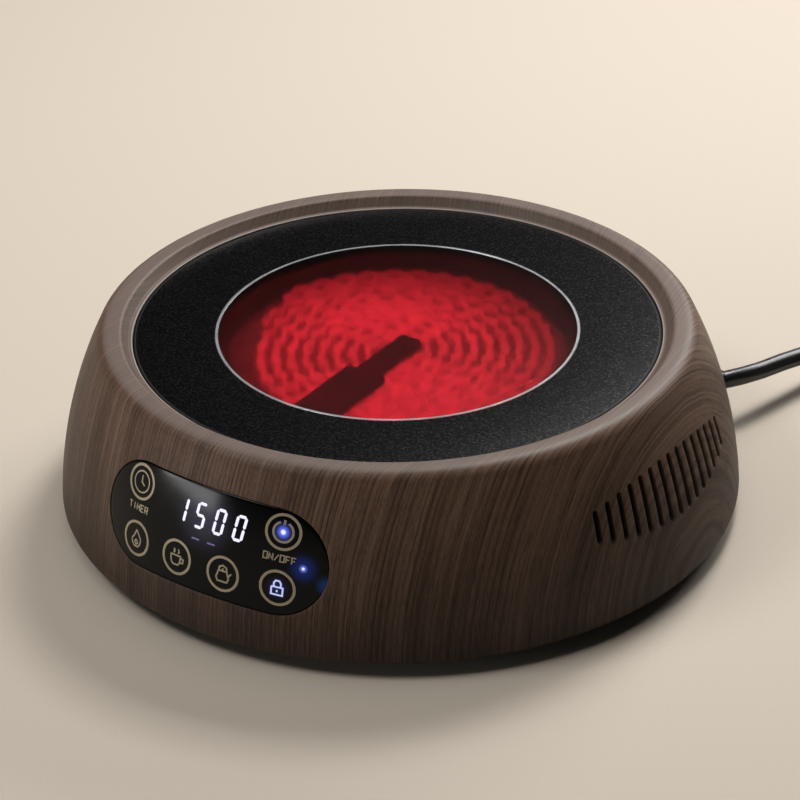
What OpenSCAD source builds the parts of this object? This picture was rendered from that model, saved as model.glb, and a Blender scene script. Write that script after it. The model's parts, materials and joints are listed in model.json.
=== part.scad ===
// Infrared hot plate: a round wood-grain housing with a glass-ceramic plate, a touch panel and a cord.
// All sizes are millimetres. The origin lies on the table under the middle of the body, +Z points up
// and the control panel faces -Y.

/* [Housing] */
// Widest diameter of the body, just above its bottom edge
body_d = 236; // [230:1:250]
// Height of the rim above the table
body_h = 67; // [66:1:78]
// Height of the bottom edge above the table
foot_h = 5; // [4:0.5:6]
// Thickness of the moulded wall
wall_t = 2.6; // [2:0.2:3.2]
// Radius of the wall's outward curve
wall_curve_r = 150; // [120:5:250]
// Radius of the round between wall and rim
shoulder_r = 5.4; // [4.4:0.2:6.4]
// Radius of the round at the bottom edge
edge_r = 2; // [1:0.5:2.5]
// Width of the flat rim
rim_flat = 3.7; // [3:0.1:6]
// Width of the slope from the rim down to the plate
rim_slope = 2.6; // [1.6:0.2:4]
// Width of the lip beside the plate
lip_w = 1.3; // [0.8:0.1:2]
// Height of that lip above the plate
lip_rise = 0.3; // [0:0.1:0.8]
// Distance of the base screws from the widest edge
post_inset = 12; // [10:0.5:14]
// Diameter of the posts that take the base screws
post_d = 8; // [7:0.5:9]

/* [Cooking plate] */
// Diameter of the glass disc
glass_d = 180; // [174:1:186]
// Thickness of the glass disc
glass_t = 4; // [3:0.5:5]
// Depth of the glass below the rim
glass_drop = 3.8; // [3:0.2:5]
// Gap around the glass
glass_gap = 0.4; // [0.2:0.1:0.8]
// Bevel on the upper edge of the glass
glass_bevel = 0.7; // [0.3:0.1:1]
// Thickness of the seal under the glass
seal_t = 0.8; // [0.5:0.1:1.5]
// Thickness of the ledge that carries the seal
ledge_t = 2.5; // [2:0.1:3.5]
// Width of that ledge
ledge_w = 6.4; // [5:0.2:8]

/* [Heater] */
// Diameter of the glowing zone
zone_d = 119; // [112:1:124]
// Width of the insulation ring round the zone
ring_w = 7.5; // [5:0.5:9]
// Thickness of the insulation bed
bed_t = 14; // [11:0.5:15]
// Sheet thickness of the pan
pan_t = 0.8; // [0.6:0.1:1.2]
// Width of the pan's turned-out rim
pan_rim = 1.5; // [1:0.25:3]
// Sheet thickness of the carrier
carrier_t = 1; // [0.8:0.1:1.6]
// Diameter of the bosses that the carrier hangs from
boss_d = 8; // [7:0.5:9]
// Thickness of the heating ribbon
ribbon_t = 0.5; // [0.3:0.1:0.8]
// Height of the heating ribbon
ribbon_h = 5.5; // [4.5:0.25:6.5]
// Distance between neighbouring turns of the ribbon
ribbon_pitch = 5.2; // [4.8:0.2:7]
// Half height of the ribbon's waves
ribbon_wave = 1.2; // [0.6:0.1:1.4]
// Length of one wave
ribbon_wave_l = 9; // [7:0.5:14]
// Radius where the ribbon turns back in the middle
ribbon_in_r = 8; // [7:0.5:10]
// Clear width between the outer turn and the insulation ring
ribbon_clear = 3.5; // [3:0.5:10]
// Thickness of the temperature probe
probe_t = 3.8; // [3:0.2:4.4]
// Width of the temperature probe
probe_w = 9.5; // [7:0.5:11]
// Length of the probe from the middle to its shoe
probe_l = 26; // [22:1:48]
// Width of the ceramic shoe that holds the probe
shoe_w = 16; // [13:0.5:18]
// Gap above and below the probe
probe_gap = 0.45; // [0.3:0.05:0.8]
// Sideways place of the probe
probe_x = 4; // [0:0.5:6]

/* [Control panel] */
// Width of the panel
panel_w = 87.6; // [84:0.2:92]
// Height of the panel along the wall
panel_h = 35.6; // [33:0.2:37]
// Height of the panel's middle above the middle of the wall
panel_lift = 2; // [1:0.2:2.6]
// Thickness of the panel
lens_t = 1.4; // [1:0.1:1.8]
// Depth of the panel's face below the wall
lens_inset = 0.25; // [0.1:0.05:0.5]
// Gap round the panel and behind it
lens_gap = 0.15; // [0.1:0.05:0.3]
// Width of the rim that the panel is bonded to
lens_seat = 2.5; // [2:0.1:3]
// Distance from the panel's face back to the display board
board_depth = 12; // [11.6:0.2:13]
// Width of the display board
board_w = 74; // [72:0.5:76]
// Distance of the display board's screws from its middle, across
board_screw_u = 28; // [25:0.5:31]
// Distance of the display board's screws from its middle, up and down
board_screw_v = 19.5; // [19:0.1:20]
// Height of the digits' block above the board
display_h = 7.6; // [6:0.2:8]
// Distance between neighbouring keys in the lower row
key_pitch = 18.7; // [17:0.1:19.5]
// Place of the lower row of keys
key_row_v = -8.8; // [-10:0.1:-8]
// Sideways place of the two upper keys
key_top_u = 29; // [27:0.1:30]
// Place of the two upper keys
key_top_v = 10; // [9:0.1:10.5]
// Diameter of the touch columns behind the keys
key_d = 8; // [6.5:0.5:9]

/* [Vents] */
// Number of slots on each side
vent_count = 15; // [9:2:17]
// Width of a slot
vent_w = 2; // [1.4:0.1:3]
// Angle between neighbouring slots
vent_step = 2.74; // [2.4:0.02:2.9]
// Height of the middle slot
vent_mid_h = 21; // [16:0.5:24]
// Height of the end slots
vent_end_h = 10.8; // [8:0.2:14]
// Height of the slots' middle above the middle of the wall
vent_lift = 3.8; // [1:0.2:5]
// Angle from the panel to the middle slot
vent_angle = 88; // [84:0.5:94]

/* [Fan] */
// Side of the square fan frame
fan_w = 80; // [76:1:82]
// Free height between the fan and the heater's carrier
fan_clear = 4; // [3:0.5:6]
// Distance between the fan's screws
fan_screw_pitch = 71.5; // [68:0.5:72]
// Number of blades
blade_count = 7; // [5:1:9]
// Thickness of a blade
blade_t = 1.6; // [1.2:0.1:2]
// Tilt of a blade
blade_tilt = 40; // [30:1:45]
// Radius of the fan's shaft
shaft_r = 1.5; // [1.2:0.1:2]

/* [Base] */
// Thickness of the base cover
base_t = 2.5; // [2.2:0.1:3]
// Gap between base cover and wall
base_gap = 0.4; // [0.3:0.1:0.8]
// Height of the base cover's locating lip
base_lip_h = 3.3; // [2:0.1:3.4]
// Diameter of a foot
foot_d = 18; // [14:0.5:22]
// Distance of the feet's middles from the widest edge
foot_inset = 23; // [20:0.5:30]
// Depth of the feet's sockets
foot_socket = 1; // [0.6:0.1:1.2]
// Height of the fan above the base cover
fan_lift = 1.5; // [1:0.1:2]
// Height of the power board above the base cover
power_board_lift = 5.3; // [4:0.1:6]

/* [Cord] */
// Diameter of the cord
cord_d = 6.5; // [5.6:0.1:7]
// Angle from the back to the cord's bushing
gland_angle = 35.5; // [30:0.5:40]
// Height of the cord's bushing above the table
gland_z = 16; // [15.4:0.1:17]
// Diameter of the bushing's outer flange
gland_d = 11; // [10:0.2:12]
// Height of that flange
gland_flange = 3; // [2:0.2:4]
// Length of the bushing's tapered nose
gland_nose = 5; // [4:0.5:7]
// Number of loops spiralling in, and again in the layer above
coil_turns = 2.5; // [2:0.5:3]
// Radius of the outermost loop
coil_r = 45; // [44:0.5:46]
// Gap between neighbouring loops
coil_gap = 0.6; // [0.5:0.1:0.8]
// Width of the strap that ties the coil
tie_w = 9; // [7:0.5:12]
// Thickness of that strap
tie_t = 0.8; // [0.6:0.1:1]
// Thickness of the plug
plug_t = 26; // [24:0.5:28]
// Width of the plug
plug_w = 36; // [34:0.5:40]
// Length of the plug's body
plug_l = 42; // [38:0.5:48]
// Length of the pins
pin_l = 18; // [16:0.5:20]

/* [Hidden] */

$fn = 48;
round_fn = 180;
// Overlap of a cut past the face that it opens
cut = 1;

// Levels, from the glass down and from the table up
glass_top = body_h - glass_drop;
glass_bot = glass_top - glass_t;
seat_z = glass_bot - seal_t;
ledge_bot = seat_z - ledge_t;
ring_h = ribbon_h + probe_t + 2 * probe_gap;
bed_top = glass_bot - ring_h;
bed_bot = bed_top - bed_t;
carrier_top = bed_bot - pan_t;
carrier_bot = carrier_top - carrier_t;
probe_bot = bed_top + ribbon_h + probe_gap;
wall_mid_z = (body_h + foot_h) / 2;
panel_z = wall_mid_z + panel_lift;
vent_z = wall_mid_z + vent_lift;
base_bot = foot_h + 0.2;
base_top = base_bot + base_t;
fan_bot = base_top + fan_lift;
power_bot = base_top + power_board_lift;
power_t = 1.6;
power_top = power_bot + power_t;
fan_h = carrier_bot - fan_bot - fan_clear;
headroom = carrier_bot - power_top;

// Radii of the rim, from the glass outwards
pocket_r = glass_d / 2 + glass_gap;
lip_r = pocket_r + lip_w;
rim_in_r = lip_r + rim_slope;
rim_out_r = rim_in_r + rim_flat;
ledge_in_r = pocket_r - ledge_w;
lip_z = glass_top + lip_rise;

// The wall is one arc: it starts at the widest edge and runs into the shoulder's round
shoulder_c = [rim_out_r, body_h - shoulder_r];
edge_p = [body_d / 2, foot_h + edge_r];
span = norm(edge_p - shoulder_c);
toward = (edge_p - shoulder_c) / span;
reach = wall_curve_r - shoulder_r;
along = (reach ^ 2 - wall_curve_r ^ 2 + span ^ 2) / (2 * span);
aside = sqrt(reach ^ 2 - along ^ 2);
wall_c = shoulder_c + along * toward + aside * [toward.y, -toward.x];
shoulder_a = atan2(shoulder_c.y - wall_c.y, shoulder_c.x - wall_c.x);
wall_steps = 18;

// Radius of the wall's surface at a height, at a depth below the outside
function wall_r(z, depth = 0) = wall_c.x + sqrt((wall_curve_r - depth) ^ 2 - (z - wall_c.y) ^ 2);

// Angle of a height on the wall's arc
function wall_a(z, depth = 0) = asin((z - wall_c.y) / (wall_curve_r - depth));

// Points of an arc, from point number first to point number last of count steps
function arc(c, r, a0, a1, count, first = 0, last = -1) =
    [for (i = [first:(last < 0 ? count : last)])
        c + r * [cos(a0 + (a1 - a0) * i / count), sin(a0 + (a1 - a0) * i / count)]];

// Outline of a slot with round ends
function slot_outline(length, width, steps = 8) =
    concat(arc([length / 2 - width / 2, 0], width / 2, -90, 90, steps),
           arc([width / 2 - length / 2, 0], width / 2, 90, 270, steps));

// Outline of a rectangle with round corners
function rounded_outline(w, h, r, steps = 4) =
    concat(arc([w / 2 - r, h / 2 - r], r, 0, 90, steps),
           arc([r - w / 2, h / 2 - r], r, 90, 180, steps),
           arc([r - w / 2, r - h / 2], r, 180, 270, steps),
           arc([w / 2 - r, r - h / 2], r, 270, 360, steps));

// Section of the housing: outside, rim, ledge, and back down the inside
edge_c = [wall_c.x + sqrt((wall_curve_r - edge_r) ^ 2 - (edge_p.y - wall_c.y) ^ 2), edge_p.y];
edge_a = atan2(edge_c.y - wall_c.y, edge_c.x - wall_c.x);
slope_dir = [rim_slope, body_h - lip_z] / norm([rim_slope, body_h - lip_z]);
slope_in = [lip_r, lip_z] + wall_t * [slope_dir.y, -slope_dir.x];
hollow_r = pocket_r + wall_t;
hollow_z = slope_in.y - (slope_in.x - hollow_r) * slope_dir.y / slope_dir.x;
roof_z = body_h - wall_t;
roof_r = slope_in.x + (roof_z - slope_in.y) * slope_dir.x / slope_dir.y;
rim_break = 0.5;
housing_section = concat(
    arc(edge_c, edge_r, -90, edge_a, 6),
    arc(wall_c, wall_curve_r, edge_a, shoulder_a, wall_steps, 1),
    arc(shoulder_c, shoulder_r, shoulder_a, 90, 8, 1),
    [[rim_in_r + rim_break, body_h], [rim_in_r, body_h] - rim_break * slope_dir,
     [lip_r, lip_z], [pocket_r, lip_z], [pocket_r, seat_z], [ledge_in_r, seat_z],
     [ledge_in_r, ledge_bot], [hollow_r, ledge_bot], [hollow_r, hollow_z], [roof_r, roof_z]],
    arc(shoulder_c, shoulder_r - wall_t, 90, shoulder_a, 6),
    arc(wall_c, wall_curve_r - wall_t, shoulder_a, wall_a(foot_h, wall_t), wall_steps, 1));

// Places of the screws and bosses
post_circle_r = body_d / 2 - post_inset;
post_angles = [36, 150, 210, 324];
foot_circle_r = body_d / 2 - foot_inset;
rib_t = 2;
boss_circle_r = ledge_in_r + boss_d / 2 + 0.6;
boss_angles = [45, 135, 225, 315];
screw_r = 1.4;
pilot_r = 1.5;
screw_hole_r = 1.9;
head_r = 2.8;
head_h = 1.6;
base_sink = 0.9;
base_screw_l = 16;
carrier_screw_l = 9;
short_screw_l = 5;

// Panel frame: u runs right, v runs up the wall, w points out of it
panel_tilt = wall_a(panel_z);
lens_back = lens_inset + lens_t;
board_t = 1.6;
board_h = 2 * board_screw_v + 6;
board_post_d = 6;
board_screws = [for (u = [-1, 1], v = [-1, 1]) [u * board_screw_u, v * board_screw_v]];
display_w = 30.2;
display_v = 7.9;
display_size_v = 13.2;
lower_keys = [for (i = [-1.5:1:1.5]) [i * key_pitch, key_row_v]];
keys = concat([[-key_top_u, key_top_v], [key_top_u, key_top_v]], lower_keys);
led_size = [2.6, 2.6, 1.4];
status_led = [34.5, -1];

// Depth of the panel's back below the middle of its face, at a place on it
function lens_back_at(p) =
    lens_back + lens_gap + p.y ^ 2 / (2 * wall_curve_r)
    + wall_r(panel_z) - sqrt(wall_r(panel_z) ^ 2 - p.x ^ 2);

// Heater radii
zone_r = zone_d / 2;
bed_fit = 0.2;
bed_r = zone_r + ring_w;
pan_in_r = bed_r + bed_fit;
pan_r = pan_in_r + pan_t;
pan_top = glass_bot - 1.5;
carrier_r = pan_r + 4;
carrier_arm_w = 16;
carrier_end_r = boss_circle_r + boss_d / 2;
tab_w = 20;
block_in = carrier_r + carrier_t;
block_size = [11, 36, 10];
terminal_a = 10;
terminal_w = 5;
terminal_t = 0.6;
terminal_z = bed_top + 1;
block_top = terminal_z;
notch_gap = 0.3;
shoe_end_r = pan_r + pan_rim + 2;
shoe_in_y = -(probe_l - 2);
cutout_p = [10, 56];
cutout_r = 7.5;
cutout_h = 6.5;

// Two-armed spiral: both arms start at the turn in the middle and end beside each other at -X
arm_r = zone_r - ribbon_clear;
arm_turns = (arm_r - ribbon_in_r) / (2 * ribbon_pitch);
short_turns = arm_turns - 0.5 + 2 * terminal_a / 360;
arm_start_a = 180 + terminal_a - 360 * short_turns;
wave_points = 6;
function spiral_r(turns) = ribbon_in_r + 2 * ribbon_pitch * turns;
function spiral_length(turns) = 2 * PI * (ribbon_in_r * turns + ribbon_pitch * turns ^ 2);
function spiral_turns(length) =
    (sqrt(ribbon_in_r ^ 2 + 2 * ribbon_pitch * length / PI) - ribbon_in_r) / (2 * ribbon_pitch);
function arm_waves(turns) = round(spiral_length(turns) / ribbon_wave_l);
function arm_points(turns, start_a) =
    [for (i = [0:arm_waves(turns) * wave_points])
        let (t = spiral_turns(spiral_length(turns) * i / (arm_waves(turns) * wave_points)))
        [spiral_r(t), start_a + 360 * t, ribbon_wave * sin(360 * i / wave_points)]];
short_arm = arm_points(short_turns, arm_start_a);
long_arm = arm_points(arm_turns, arm_start_a + 180);
turn_steps = 10;
function polar(r, a) = r * [cos(a), sin(a)];
// One side of the ribbon, at a distance from its middle line
function ribbon_side(off) = concat(
    [for (i = [len(short_arm) - 1:-1:0]) let (p = short_arm[i]) polar(p[0] + p[2] + off, p[1])],
    [for (i = [1:turn_steps]) polar(ribbon_in_r / 2, arm_start_a)
        + polar(ribbon_in_r / 2 + off, arm_start_a - 180 * i / turn_steps)],
    [for (i = [1:turn_steps]) polar(ribbon_in_r / 2, arm_start_a + 180)
        + polar(ribbon_in_r / 2 - off, arm_start_a + 180 * i / turn_steps)],
    [for (i = [1:len(long_arm) - 1]) let (p = long_arm[i]) polar(p[0] + p[2] - off, p[1])]);
// Least gap between the two arms, measured between the points of one and the other
ribbon_gap_step = 5;
function ribbon_gap() =
    min([for (i = [0:ribbon_gap_step:len(short_arm) - 1])
        min([for (k = [0:len(long_arm) - 1])
            norm(polar(short_arm[i][0] + short_arm[i][2], short_arm[i][1])
                - polar(long_arm[k][0] + long_arm[k][2], long_arm[k][1]))])]) - ribbon_t;

// Fan
fan_c = [42, 6];
duct_r = fan_w / 2 - 2;
fan_corner_r = 4;
strut_h = 3;
strut_w = 4;
hub_r = 17;
cup_t = 1.5;
bearing_r = 4;
shaft_gap = 0.05;
tip_gap = 1;
rotor_bot = fan_bot + strut_h + 1.2;
rotor_top = fan_bot + fan_h - 2.2;
bearing_top = rotor_top - cup_t - 1;
stator_r = 12.5;
stator_h = 0.35 * fan_h;
fan_screws_at = [for (x = [-1, 1], y = [-1, 1]) fan_c + fan_screw_pitch / 2 * [x, y]];
fan_hole_r = 2.1;
fan_boss_d = 7;
grille_r = [10, 18, 26, 33];
grille_slot = 4;
grille_bar = 5;

// Power board and what stands on it
power_c = [-41, 5];
power_size = [70, 110];
power_screw_inset = 4;
power_screws_at = [for (x = [-1, 1], y = [-1, 1])
    power_c + [x * (power_size.x / 2 - power_screw_inset), y * (power_size.y / 2 - power_screw_inset)]];
sink_p = [-58, -30];
sink_clear = 2.6;
sink_size = [24, 45, headroom - sink_clear];
sink_fins = 6;
sink_fin_t = 1.6;
sink_floor = 3;
tab_size = [0.8, 6.3, 8];
mains_tabs = [for (i = [0:2]) [-14 - 10 * i, 50]];
heater_tabs = [for (s = [-1, 1]) [-carrier_r - 2, s * 8]];

// Cord bushing: its axis runs outwards at gland_angle from the back
gland_dir = 90 - gland_angle;
gland_spot_r = wall_r(gland_z + gland_d / 2 + 0.6) - 0.25;
gland_face_r = gland_spot_r + gland_flange;
gland_neck_r = gland_d / 2 - 0.9;
gland_in_r = wall_r(gland_z + gland_d / 2, wall_t) - 0.4;
gland_collar = 2;
stub_inset = 18;
stub_in_r = body_d / 2 - stub_inset;
clamp_inset = 13;
clamp_r = body_d / 2 - clamp_inset;
clamp_screw_y = 9;
clamp_size = [8, 25, 4];
lead_d = 2.2;

// Free cord: it leaves the bushing, comes down to the table and runs into the coil
cord_r = cord_d / 2;
tie_gap = 0.5;
cord_z = cord_r + tie_t + tie_gap + 0.05;
coil_c = [141.8, 177.7];
coil_in_a = 165;
gland_out = [cos(gland_dir), sin(gland_dir), 0];
gland_end_r = gland_face_r + gland_nose;
gland_end = [gland_end_r * gland_out.x, gland_end_r * gland_out.y, gland_z];
coil_way = [cos(coil_in_a - 90), sin(coil_in_a - 90), 0];
coil_mouth = [coil_c.x, coil_c.y, cord_z] + coil_r * [cos(coil_in_a), sin(coil_in_a), 0] - cord_d * coil_way;
lead_route = concat(
    [gland_end, gland_end + 2 * gland_out],
    [[74.9, 105.6, 15.85], [76.4, 108.8, 15.6], [77.7, 112.6, 15.2], [79, 117, 14.6], [81.5, 127, 13.6],
     [84, 136.5, 12.4], [86.5, 146, 11], [89, 155.5, 9.4], [91.3, 164.2, 7.7], [93.3, 171.5, 6.2],
     [95, 177, 5.1]],
    [coil_mouth - 3 * coil_way, coil_mouth]);

// The coil spirals in, climbs one layer in the half turn where it reverses, and spirals out again
coil_pitch = cord_d + coil_gap;
coil_rings = 24;
coil_total = 2 * coil_turns + 0.5;
coil_in_r = coil_r - coil_pitch * coil_turns;
plug_z = plug_t / 2;
function ease(t) = (1 - cos(180 * max(0, min(1, t)))) / 2;
coil_dip = 0.3 * coil_pitch;
function climb(t) = max(0, min(1, (t - coil_turns) / 0.5));
function coil_radius(t) = coil_in_r + coil_pitch * max(0, coil_turns - t, t - coil_turns - 0.5)
    - coil_dip * sin(180 * climb(t));
function coil_height(t) = cord_z + coil_pitch * ease(climb(t))
    + (plug_z - cord_z - coil_pitch) * ease(t - coil_total + 1);
function coil_at(t) =
    [coil_c.x + coil_radius(t) * cos(coil_in_a - 360 * t),
     coil_c.y + coil_radius(t) * sin(coil_in_a - 360 * t), coil_height(t)];
coil_out_a = coil_in_a - 360 * coil_total;
plug_dir = [cos(coil_out_a - 90), sin(coil_out_a - 90), 0];
plug_run = 16;
plug_face = coil_at(coil_total) + plug_run * plug_dir;
coil_loops = [for (i = [0:coil_total * coil_rings]) coil_at(i / coil_rings)];
coil_route = concat([coil_mouth], coil_loops, [plug_face]);
// Least gap of the coil to itself, between points over half a loop apart
coil_self_gap = min([for (i = [0:len(coil_route) - 1])
    min([for (k = [i + coil_rings / 2:len(coil_route) - 1]) norm(coil_route[i] - coil_route[k]), coil_r])])
    - cord_d;

// Tube swept along a route, with rings square to it
function route_dir(route, i) =
    let (d = route[min(i + 1, len(route) - 1)] - route[max(i - 1, 0)]) d / norm(d);
function ring_points(p, d, r, sides, ref) =
    let (side = cross(d, ref) / norm(cross(d, ref)), up = cross(side, d))
    [for (k = [0:sides - 1]) p + r * (cos(360 * k / sides) * side + sin(360 * k / sides) * up)];
module tube(route, r, sides, ref = [0, 0, 1]) {
    rings = len(route);
    points = [for (i = [0:rings - 1]) each ring_points(route[i], route_dir(route, i), r, sides, ref)];
    sides_faces = [for (i = [0:rings - 2], k = [0:sides - 1])
        let (a = i * sides + k, b = i * sides + (k + 1) % sides)
        each [[a, b, b + sides], [a, b + sides, a + sides]]];
    first_cap = [for (k = [1:sides - 2]) [0, k + 1, k]];
    last = (rings - 1) * sides;
    last_cap = [for (k = [1:sides - 2]) [last, last + k, last + k + 1]];
    polyhedron(points, concat(sides_faces, first_cap, last_cap));
}

// Places
module on_panel() {
    translate([0, -wall_r(panel_z), panel_z]) rotate([90 - panel_tilt, 0, 0]) children();
}

module on_gland() {
    rotate([0, 0, gland_dir]) translate([0, 0, gland_z]) rotate([0, 90, 0]) children();
}

module on_plug() {
    translate(plug_face) rotate([0, 0, coil_out_a - 90]) children();
}

// Solid inside the wall's surface, at a depth below the outside
module core(depth) {
    rotate_extrude($fn = round_fn)
        polygon(concat([[0, foot_h]],
            arc(wall_c, wall_curve_r - depth, wall_a(foot_h, depth), shoulder_a, wall_steps),
            [[0, wall_c.y + (wall_curve_r - depth) * sin(shoulder_a)]]));
}

// Panel outline as a prism through the wall, widened on every side
module panel_prism(widen) {
    on_panel() translate([0, 0, -board_depth]) linear_extrude(2 * board_depth)
        polygon(slot_outline(panel_w + 2 * widen, panel_h + 2 * widen, 16));
}

// Upright ring
module ring(r_out, r_in, z, h) {
    translate([0, 0, z]) difference() {
        cylinder(r = r_out, h = h, $fn = round_fn);
        translate([0, 0, -cut]) cylinder(r = r_in, h = h + 2 * cut, $fn = round_fn);
    }
}

// Screw with its head below z = 0 and its shank above
module screw(length) {
    cross_w = 0.8;
    difference() {
        union() {
            translate([0, 0, -head_h]) cylinder(r = head_r, h = head_h);
            cylinder(r = screw_r, h = length);
        }
        for (a = [0, 90]) rotate([0, 0, a])
            translate([-1.6, -cross_w / 2, -head_h - cut]) cube([3.2, cross_w, cut + 0.9]);
    }
}

// Housing
module base_posts() {
    intersection() {
        for (a = post_angles) rotate([0, 0, a]) translate([post_circle_r, 0, base_top]) {
            cylinder(d = post_d, h = body_h);
            translate([0, -rib_t / 2, 0]) cube([post_inset, rib_t, body_h]);
        }
        core(wall_t / 2);
    }
}

module heater_bosses() {
    for (a = boss_angles) rotate([0, 0, a]) translate([boss_circle_r, 0, carrier_top])
        cylinder(d = boss_d, h = ledge_bot + ledge_t / 2 - carrier_top);
}

module panel_frame() {
    frame_w = 2;
    frame_t = 1.4;
    difference() {
        intersection() {
            panel_prism(frame_w);
            core(wall_t / 2);
        }
        core(wall_t + frame_t);
    }
}

module board_posts() {
    intersection() {
        on_panel() for (p = board_screws) translate([p.x, p.y, -board_depth])
            cylinder(d = board_post_d, h = board_depth);
        core(wall_t / 2);
    }
}

module vent_slots() {
    half = (vent_count - 1) / 2;
    depth = 4 * wall_t;
    for (side = [0, 1], i = [-half:half]) {
        slot_h = vent_end_h + (vent_mid_h - vent_end_h) * (1 - (i / half) ^ 2);
        mirror([side, 0, 0]) rotate([0, 0, vent_angle - 90 + i * vent_step])
            translate([wall_r(vent_z) - wall_t, 0, vent_z]) rotate([90, 0, 90])
                linear_extrude(2 * depth, center = true)
                    rotate([0, 0, 90]) polygon(slot_outline(slot_h, vent_w));
    }
}

module panel_cuts() {
    difference() {
        panel_prism(lens_gap);
        core(lens_back + lens_gap);
    }
    panel_prism(-lens_seat);
}

module screw_pilots() {
    for (a = post_angles) rotate([0, 0, a]) translate([post_circle_r, 0, base_top - cut])
        cylinder(r = pilot_r, h = base_screw_l + 2 * cut);
    for (a = boss_angles) rotate([0, 0, a]) translate([boss_circle_r, 0, carrier_top - cut])
        cylinder(r = pilot_r, h = carrier_screw_l + 2 * cut);
    on_panel() for (p = board_screws) translate([p.x, p.y, -board_depth - cut])
        cylinder(r = pilot_r, h = short_screw_l + cut);
}

module gland_cuts() {
    on_gland() {
        translate([0, 0, stub_in_r]) cylinder(r = gland_neck_r + 0.1, h = body_d / 2 - stub_in_r + cut);
        translate([0, 0, gland_spot_r]) cylinder(d = gland_d + 0.6, h = 10);
    }
}

module housing_shell() {
    color("#5c4d46") difference() {
        union() {
            rotate_extrude($fn = round_fn) polygon(housing_section);
            base_posts();
            heater_bosses();
            panel_frame();
            board_posts();
        }
        vent_slots();
        panel_cuts();
        screw_pilots();
        gland_cuts();
    }
}

// Cooking plate
module glass_plate() {
    r = glass_d / 2;
    color("#141416") rotate_extrude($fn = round_fn)
        polygon([[0, glass_bot], [r - glass_bevel / 2, glass_bot], [r, glass_bot + glass_bevel / 2],
                 [r, glass_top - glass_bevel], [r - glass_bevel, glass_top], [0, glass_top]]);
}

module glass_seal() {
    color("#303030") ring(glass_d / 2 - 0.6, ledge_in_r + 0.6, seat_z, seal_t);
}

// Control panel
module panel_lens() {
    color("#0b0b0d") intersection() {
        panel_prism(0);
        difference() {
            core(lens_inset);
            core(lens_back);
        }
    }
}

module display_board() {
    color("#1f5a36") on_panel() difference() {
        translate([0, 0, -board_depth - board_t]) linear_extrude(board_t)
            polygon(rounded_outline(board_w, board_h, 6));
        for (p = board_screws) translate([p.x, p.y, -board_depth - board_t - cut])
            cylinder(r = screw_hole_r, h = board_t + 2 * cut);
    }
}

module digit_display() {
    face_break = 0.6;
    color("#e8e6f4") on_panel() translate([0, display_v, -board_depth]) {
        linear_extrude(display_h - face_break) square([display_w, display_size_v], center = true);
        translate([0, 0, display_h - face_break]) linear_extrude(face_break)
            square([display_w - 2 * face_break, display_size_v - 2 * face_break], center = true);
    }
}

module touch_columns() {
    color("#3a3a3a") on_panel() for (p = keys)
        let (depth = max([for (x = [-1, 1], y = [-1, 1]) lens_back_at(p + key_d / 2 * [x, y])]) + 0.1)
        translate([p.x, p.y, -board_depth]) difference() {
            cylinder(d = key_d, h = board_depth - depth);
            translate([0, 0, -cut]) cylinder(d = key_d - 2.4, h = board_depth);
        }
}

module key_leds() {
    color("#dfe8ff") on_panel() for (p = concat(keys, [status_led]))
        translate([p.x - led_size.x / 2, p.y - led_size.y / 2, -board_depth]) cube(led_size);
}

module display_screws() {
    color("silver") on_panel() for (p = board_screws)
        translate([p.x, p.y, -board_depth - board_t]) screw(short_screw_l - cut);
}

// Heater
module heating_ribbon() {
    echo(ribbon_least_gap = ribbon_gap());
    left = ribbon_side(ribbon_t / 2);
    right = ribbon_side(-ribbon_t / 2);
    color("#c2452f") translate([0, 0, bed_top]) linear_extrude(ribbon_h)
        polygon(concat(left, [for (i = [len(right) - 1:-1:0]) right[i]]));
}

module insulation_bed() {
    color("#d9d2c4") translate([0, 0, bed_bot]) cylinder(r = bed_r, h = bed_t, $fn = round_fn);
}

// Way of the probe's shoe out of the heater
module shoe_way() {
    translate([probe_x - shoe_w / 2 - notch_gap, -body_d / 2, probe_bot])
        cube([shoe_w + 2 * notch_gap, body_d / 2, ring_h]);
}

// Ways of the ribbon's two terminals out of the heater
module terminal_ways() {
    for (s = [-1, 1]) rotate([0, 0, 180 + s * terminal_a])
        translate([0, -terminal_w / 2 - notch_gap, terminal_z - notch_gap])
            cube([carrier_r, terminal_w + 2 * notch_gap, terminal_t + 2 * notch_gap]);
}

module insulation_ring() {
    color("#e2dccf") difference() {
        ring(bed_r, zone_r, bed_top, ring_h);
        shoe_way();
        terminal_ways();
    }
}

module heater_pan() {
    color("#a9adb0") difference() {
        rotate_extrude($fn = round_fn)
            polygon([[0, carrier_top], [pan_r, carrier_top], [pan_r, pan_top - pan_t],
                     [pan_r + pan_rim, pan_top - pan_t], [pan_r + pan_rim, pan_top], [pan_in_r, pan_top],
                     [pan_in_r, bed_bot], [0, bed_bot]]);
        shoe_way();
        terminal_ways();
    }
}

module heater_carrier() {
    window_r = 14;
    window_circle_r = 42;
    color("#b8bbbd") {
        difference() {
            union() {
                translate([0, 0, carrier_bot]) cylinder(r = carrier_r, h = carrier_t, $fn = round_fn);
                for (a = boss_angles) rotate([0, 0, a]) translate([0, -carrier_arm_w / 2, carrier_bot])
                    cube([carrier_end_r, carrier_arm_w, carrier_t]);
                translate([-block_in, -tab_w / 2, carrier_bot])
                    cube([carrier_t, tab_w, block_top - 3 - carrier_bot]);
                translate([-block_in, -tab_w / 2, carrier_bot])
                    cube([block_in - carrier_r / 2, tab_w, carrier_t]);
            }
            for (a = boss_angles) rotate([0, 0, a]) {
                translate([boss_circle_r, 0, carrier_bot - cut])
                    cylinder(r = screw_hole_r, h = carrier_t + 2 * cut);
                rotate([0, 0, 45]) translate([window_circle_r, 0, carrier_bot - cut])
                    cylinder(r = window_r, h = carrier_t + 2 * cut);
            }
        }
    }
}

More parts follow.
